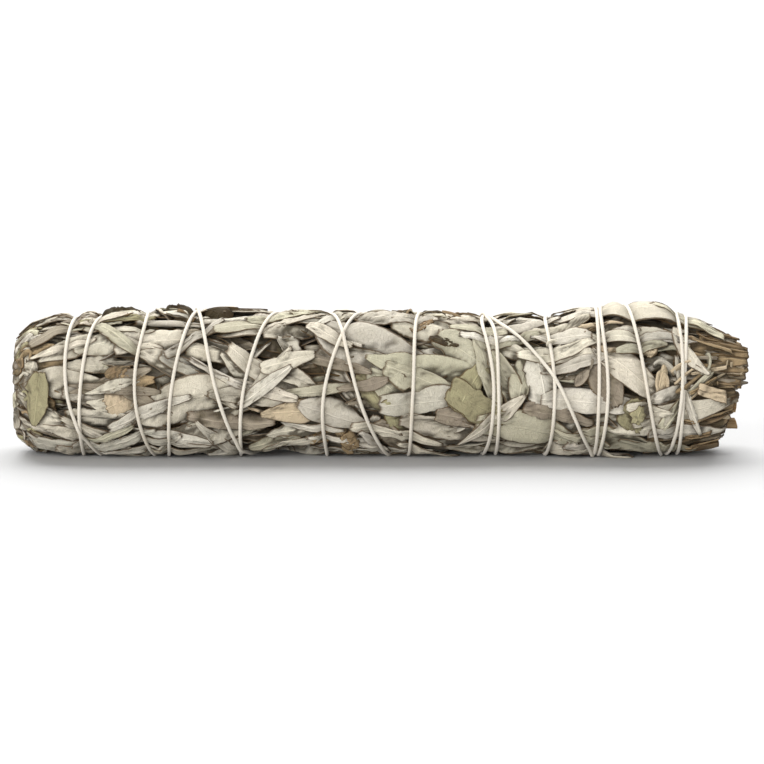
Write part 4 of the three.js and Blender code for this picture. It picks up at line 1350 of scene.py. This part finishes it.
class SAGE_OT_ends(bpy.types.Operator):
    """Adds the curled strips, and fills both ends with rolled leaves, packed round the stems."""

    bl_idname = "sage.ends"
    bl_label = "Curls and Rolled Ends"

    def execute(self, context):
        rng = np.random.default_rng(context.scene.sage_bunch.seed + 1)
        stems = [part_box(f"stem_{k}") for k in range(1, LEAFY_STEMS + 1)] + [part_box("stem_middle")]
        middles = [((lo[1] + hi[1]) / 2 / MM, (lo[2] + hi[2]) / 2 / MM - AXIS_HEIGHT) for lo, hi in stems]
        material = shared_leaf_material()
        for thickness, made in curled_strips(rng).items():
            piece = made.finish(f"leaf_curls_{round(thickness * 10)}", material, thickness, 0.0)
            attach(piece, "root")
        for end, name, tones in (
            (-1, "rolled_ends_left", ("grey", "pale", "green", "pale", "taupe")),
            (1, "rolled_ends_right", ("tan", "brown", "taupe", "beige", "brown", "tan")),
        ):
            made = LeafMesh()
            for i in range(ROLLS):
                reach = ROLLS_REACH * math.sqrt((i + 0.5) / ROLLS)
                way = i * GOLDEN_TURN + rng.uniform(-0.2, 0.2)
                y, z = reach * math.cos(way) + rng.normal(0, 0.3), reach * math.sin(way) + rng.normal(0, 0.3)
                size = rng.uniform(1.3, 2.2)
                if end > 0 and any(math.hypot(y - my, z - mz) < STEM_CLEAR for my, mz in middles):
                    continue
                made.add(rolled_leaf(rng, end, y, z, size, tones))
            piece = made.finish(name, material, ROLL_THICKNESS, 0.0)
            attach(piece, "root")
        return {"FINISHED"}


class SAGE_OT_stems(bpy.types.Operator):
    """Replaces each woody stem with a ridged one that is cut slantwise."""

    bl_idname = "sage.stems"
    bl_label = "Stems"

    def execute(self, context):
        bunch = context.scene.sage_bunch
        rng = np.random.default_rng(STEMS_SEED)
        material = stem_material(bunch.bark, bunch.pith)
        for node in [f"stem_{k}" for k in range(1, LEAFY_STEMS + 1)] + ["stem_middle"]:
            low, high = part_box(node)
            middle, radius = (low + high) / 2, (high.z - low.z) / 2
            bm = bmesh.new()
            cut = bm.verts.layers.float_vector.new("cut")
            lying_rod(bm, sides=28, cuts=50, rings=2)
            phase = rng.uniform(0, TURN, 3)
            slant = abs(rng.uniform(-0.35, 0.35))
            for vert in bm.verts:
                out = math.hypot(vert.co.y, vert.co.z)
                around = math.atan2(vert.co.z, vert.co.y)
                at_end = abs(vert.co.x) > 0.999
                vert[cut] = (1.0 if at_end and out < 0.93 else 0.0, out, 0)
                ridge = 1 + 0.05 * math.sin(7 * around + phase[0])
                ridge += 0.03 * math.sin(vert.co.x * 40 + phase[1])
                r = out * radius * 0.94 * ridge
                x = middle.x + vert.co.x * (high.x - low.x) / 2
                x -= max(vert.co.x, 0) ** 8 * (1 + math.sin(around + phase[2])) * out * radius * slant
                vert.co = Vector((x, middle.y + r * math.cos(around), middle.z + r * math.sin(around)))
            piece = new_piece(f"sage_{node}", bm, material)
            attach(piece, "root")
            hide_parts(node)
        return {"FINISHED"}


class SAGE_OT_twine(bpy.types.Operator):
    """Winds the cotton twine, ties its knot at the back, and lays the leaf that hangs over it."""

    bl_idname = "sage.twine"
    bl_label = "Twine"

    def execute(self, context):
        twine = context.scene.sage_twine
        x, angle, radius = twine_route()
        bm = bmesh.new()
        layer = bm.verts.layers.float_vector.new("strand")
        twine_tube(bm, place(x, angle, radius), twine.radius, twine.sides, twine.twist / MM, layer)
        stands = radius[0] + KNOT_PROUD
        knot = place(np.array([KNOT_ALONG]), np.array([math.pi]), np.array([stands]))[0]
        t = np.linspace(0, TURN, 70)
        wide = 2 + np.cos(3 * t)
        trefoil = np.stack([wide * np.cos(2 * t), np.sin(3 * t), wide * np.sin(2 * t)], axis=1) / 2
        loop = trefoil * (KNOT_SIZE * MM) + knot
        twine_tube(bm, loop, twine.radius, twine.sides, twine.twist / MM, layer)
        t = np.linspace(0, 1, 14)
        for side in (-1, 1):
            along = knot[0] / MM + side * TAIL_LENGTH * t
            tail = place(along, math.pi + TAIL_DROP * t, stands - 0.2 * np.sin(t * 3))
            twine_tube(bm, tail, twine.radius * 0.95, twine.sides, twine.twist / MM, layer)
        piece = new_piece("cotton_twine_wound", bm, twine_material(twine.cotton))
        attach(piece, "root")
        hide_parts("twine")
        heap = shared_heap()
        heap.raise_to(x, angle, radius + TWINE_RADIUS)
        made = LeafMesh()
        rng = np.random.default_rng(HANGING_LEAF_SEED)
        made.add(lay(heap, HANGING_LEAF, rng, (22, 12)))
        hanging = made.finish("hanging_leaf", shared_leaf_material(), LEAF_THICKNESS)
        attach(hanging, "root")
        return {"FINISHED"}


class SAGE_OT_stage(bpy.types.Operator):
    """Sets the floor, the lights and the camera."""

    bl_idname = "sage.stage"
    bl_label = "Stage"

    def surround(self, scene, strength):
        """A white surround that the camera sees in full and that lights the bunch with its own strength."""
        world = bpy.data.worlds.new("white surround")
        scene.world = world
        world.use_nodes = True
        nodes, links = world.node_tree.nodes, world.node_tree.links
        background = nodes["Background"]
        background.inputs["Color"].default_value = (1, 1, 1, 1)
        seen_directly = nodes.new("ShaderNodeLightPath").outputs["Is Camera Ray"]
        chosen = nodes.new("ShaderNodeMapRange")
        links.new(seen_directly, chosen.inputs["Value"])
        chosen.inputs["To Min"].default_value = strength
        links.new(chosen.outputs["Result"], background.inputs["Strength"])

    def execute(self, context):
        scene, stage = context.scene, context.scene.sage_stage
        bm = bmesh.new()
        bmesh.ops.create_grid(bm, x_segments=8, y_segments=8, size=FLOOR_HALF_WIDTH)
        new_piece("floor", bm, floor_material())
        self.surround(scene, stage.sky)
        for name, source, strength in (
            ("overhead softbox", OVERHEAD_FROM, stage.overhead),
            ("front softbox", FRONT_FROM, stage.front),
        ):
            light = bpy.data.lights.new(name, "SUN")
            light.angle = stage.softness
            light.energy = strength
            lamp = bpy.data.objects.new(name, light)
            lamp.rotation_euler = Vector(source).to_track_quat("Z", "Y").to_euler()
            scene.collection.objects.link(lamp)
        camera = bpy.data.cameras.new("camera")
        camera.lens = camera.sensor_width * stage.distance / stage.frame_width
        camera.clip_start, camera.clip_end = 0.01, 200
        eye = bpy.data.objects.new("camera", camera)
        back_off = Vector((0, -math.cos(stage.elevation), math.sin(stage.elevation)))
        eye.location = Vector(AIM) + back_off * stage.distance
        eye.rotation_euler = (-back_off).to_track_quat("-Z", "Y").to_euler()
        scene.collection.objects.link(eye)
        scene.camera = eye
        scene.view_settings.view_transform = "Standard"
        return {"FINISHED"}


class SAGE_PT_panel(bpy.types.Panel):
    """The bunch's settings and steps, in the sidebar."""

    bl_idname = "SAGE_PT_panel"
    bl_label = "Sage Bunch"
    bl_space_type = "VIEW_3D"
    bl_region_type = "UI"
    bl_category = "Sage"

    def draw(self, context):
        for group in (context.scene.sage_bunch, context.scene.sage_twine, context.scene.sage_stage):
            for name in group.__annotations__:
                self.layout.prop(group, name)
        for step in STEPS:
            self.layout.operator(step.bl_idname)


STEPS = (SAGE_OT_stage, SAGE_OT_core, SAGE_OT_leaves, SAGE_OT_ends, SAGE_OT_stems, SAGE_OT_twine)
GROUPS = (("sage_bunch", SAGE_PG_bunch), ("sage_twine", SAGE_PG_twine), ("sage_stage", SAGE_PG_stage))


def register():
    """Makes the settings, the steps and the panel known."""
    for name, group in GROUPS:
        bpy.utils.register_class(group)
        setattr(bpy.types.Scene, name, PointerProperty(type=group))
    for step in (*STEPS, SAGE_PT_panel):
        bpy.utils.register_class(step)


def unregister():
    """Takes them out again."""
    for step in (SAGE_PT_panel, *STEPS):
        bpy.utils.unregister_class(step)
    for name, group in GROUPS:
        delattr(bpy.types.Scene, name)
        bpy.utils.unregister_class(group)


def main():
    """Runs every step in turn."""
    register()
    bpy.ops.sage.stage()
    bpy.ops.sage.core()
    bpy.ops.sage.leaves()
    bpy.ops.sage.ends()
    bpy.ops.sage.stems()
    bpy.ops.sage.twine()


if __name__ == "__main__":
    main()
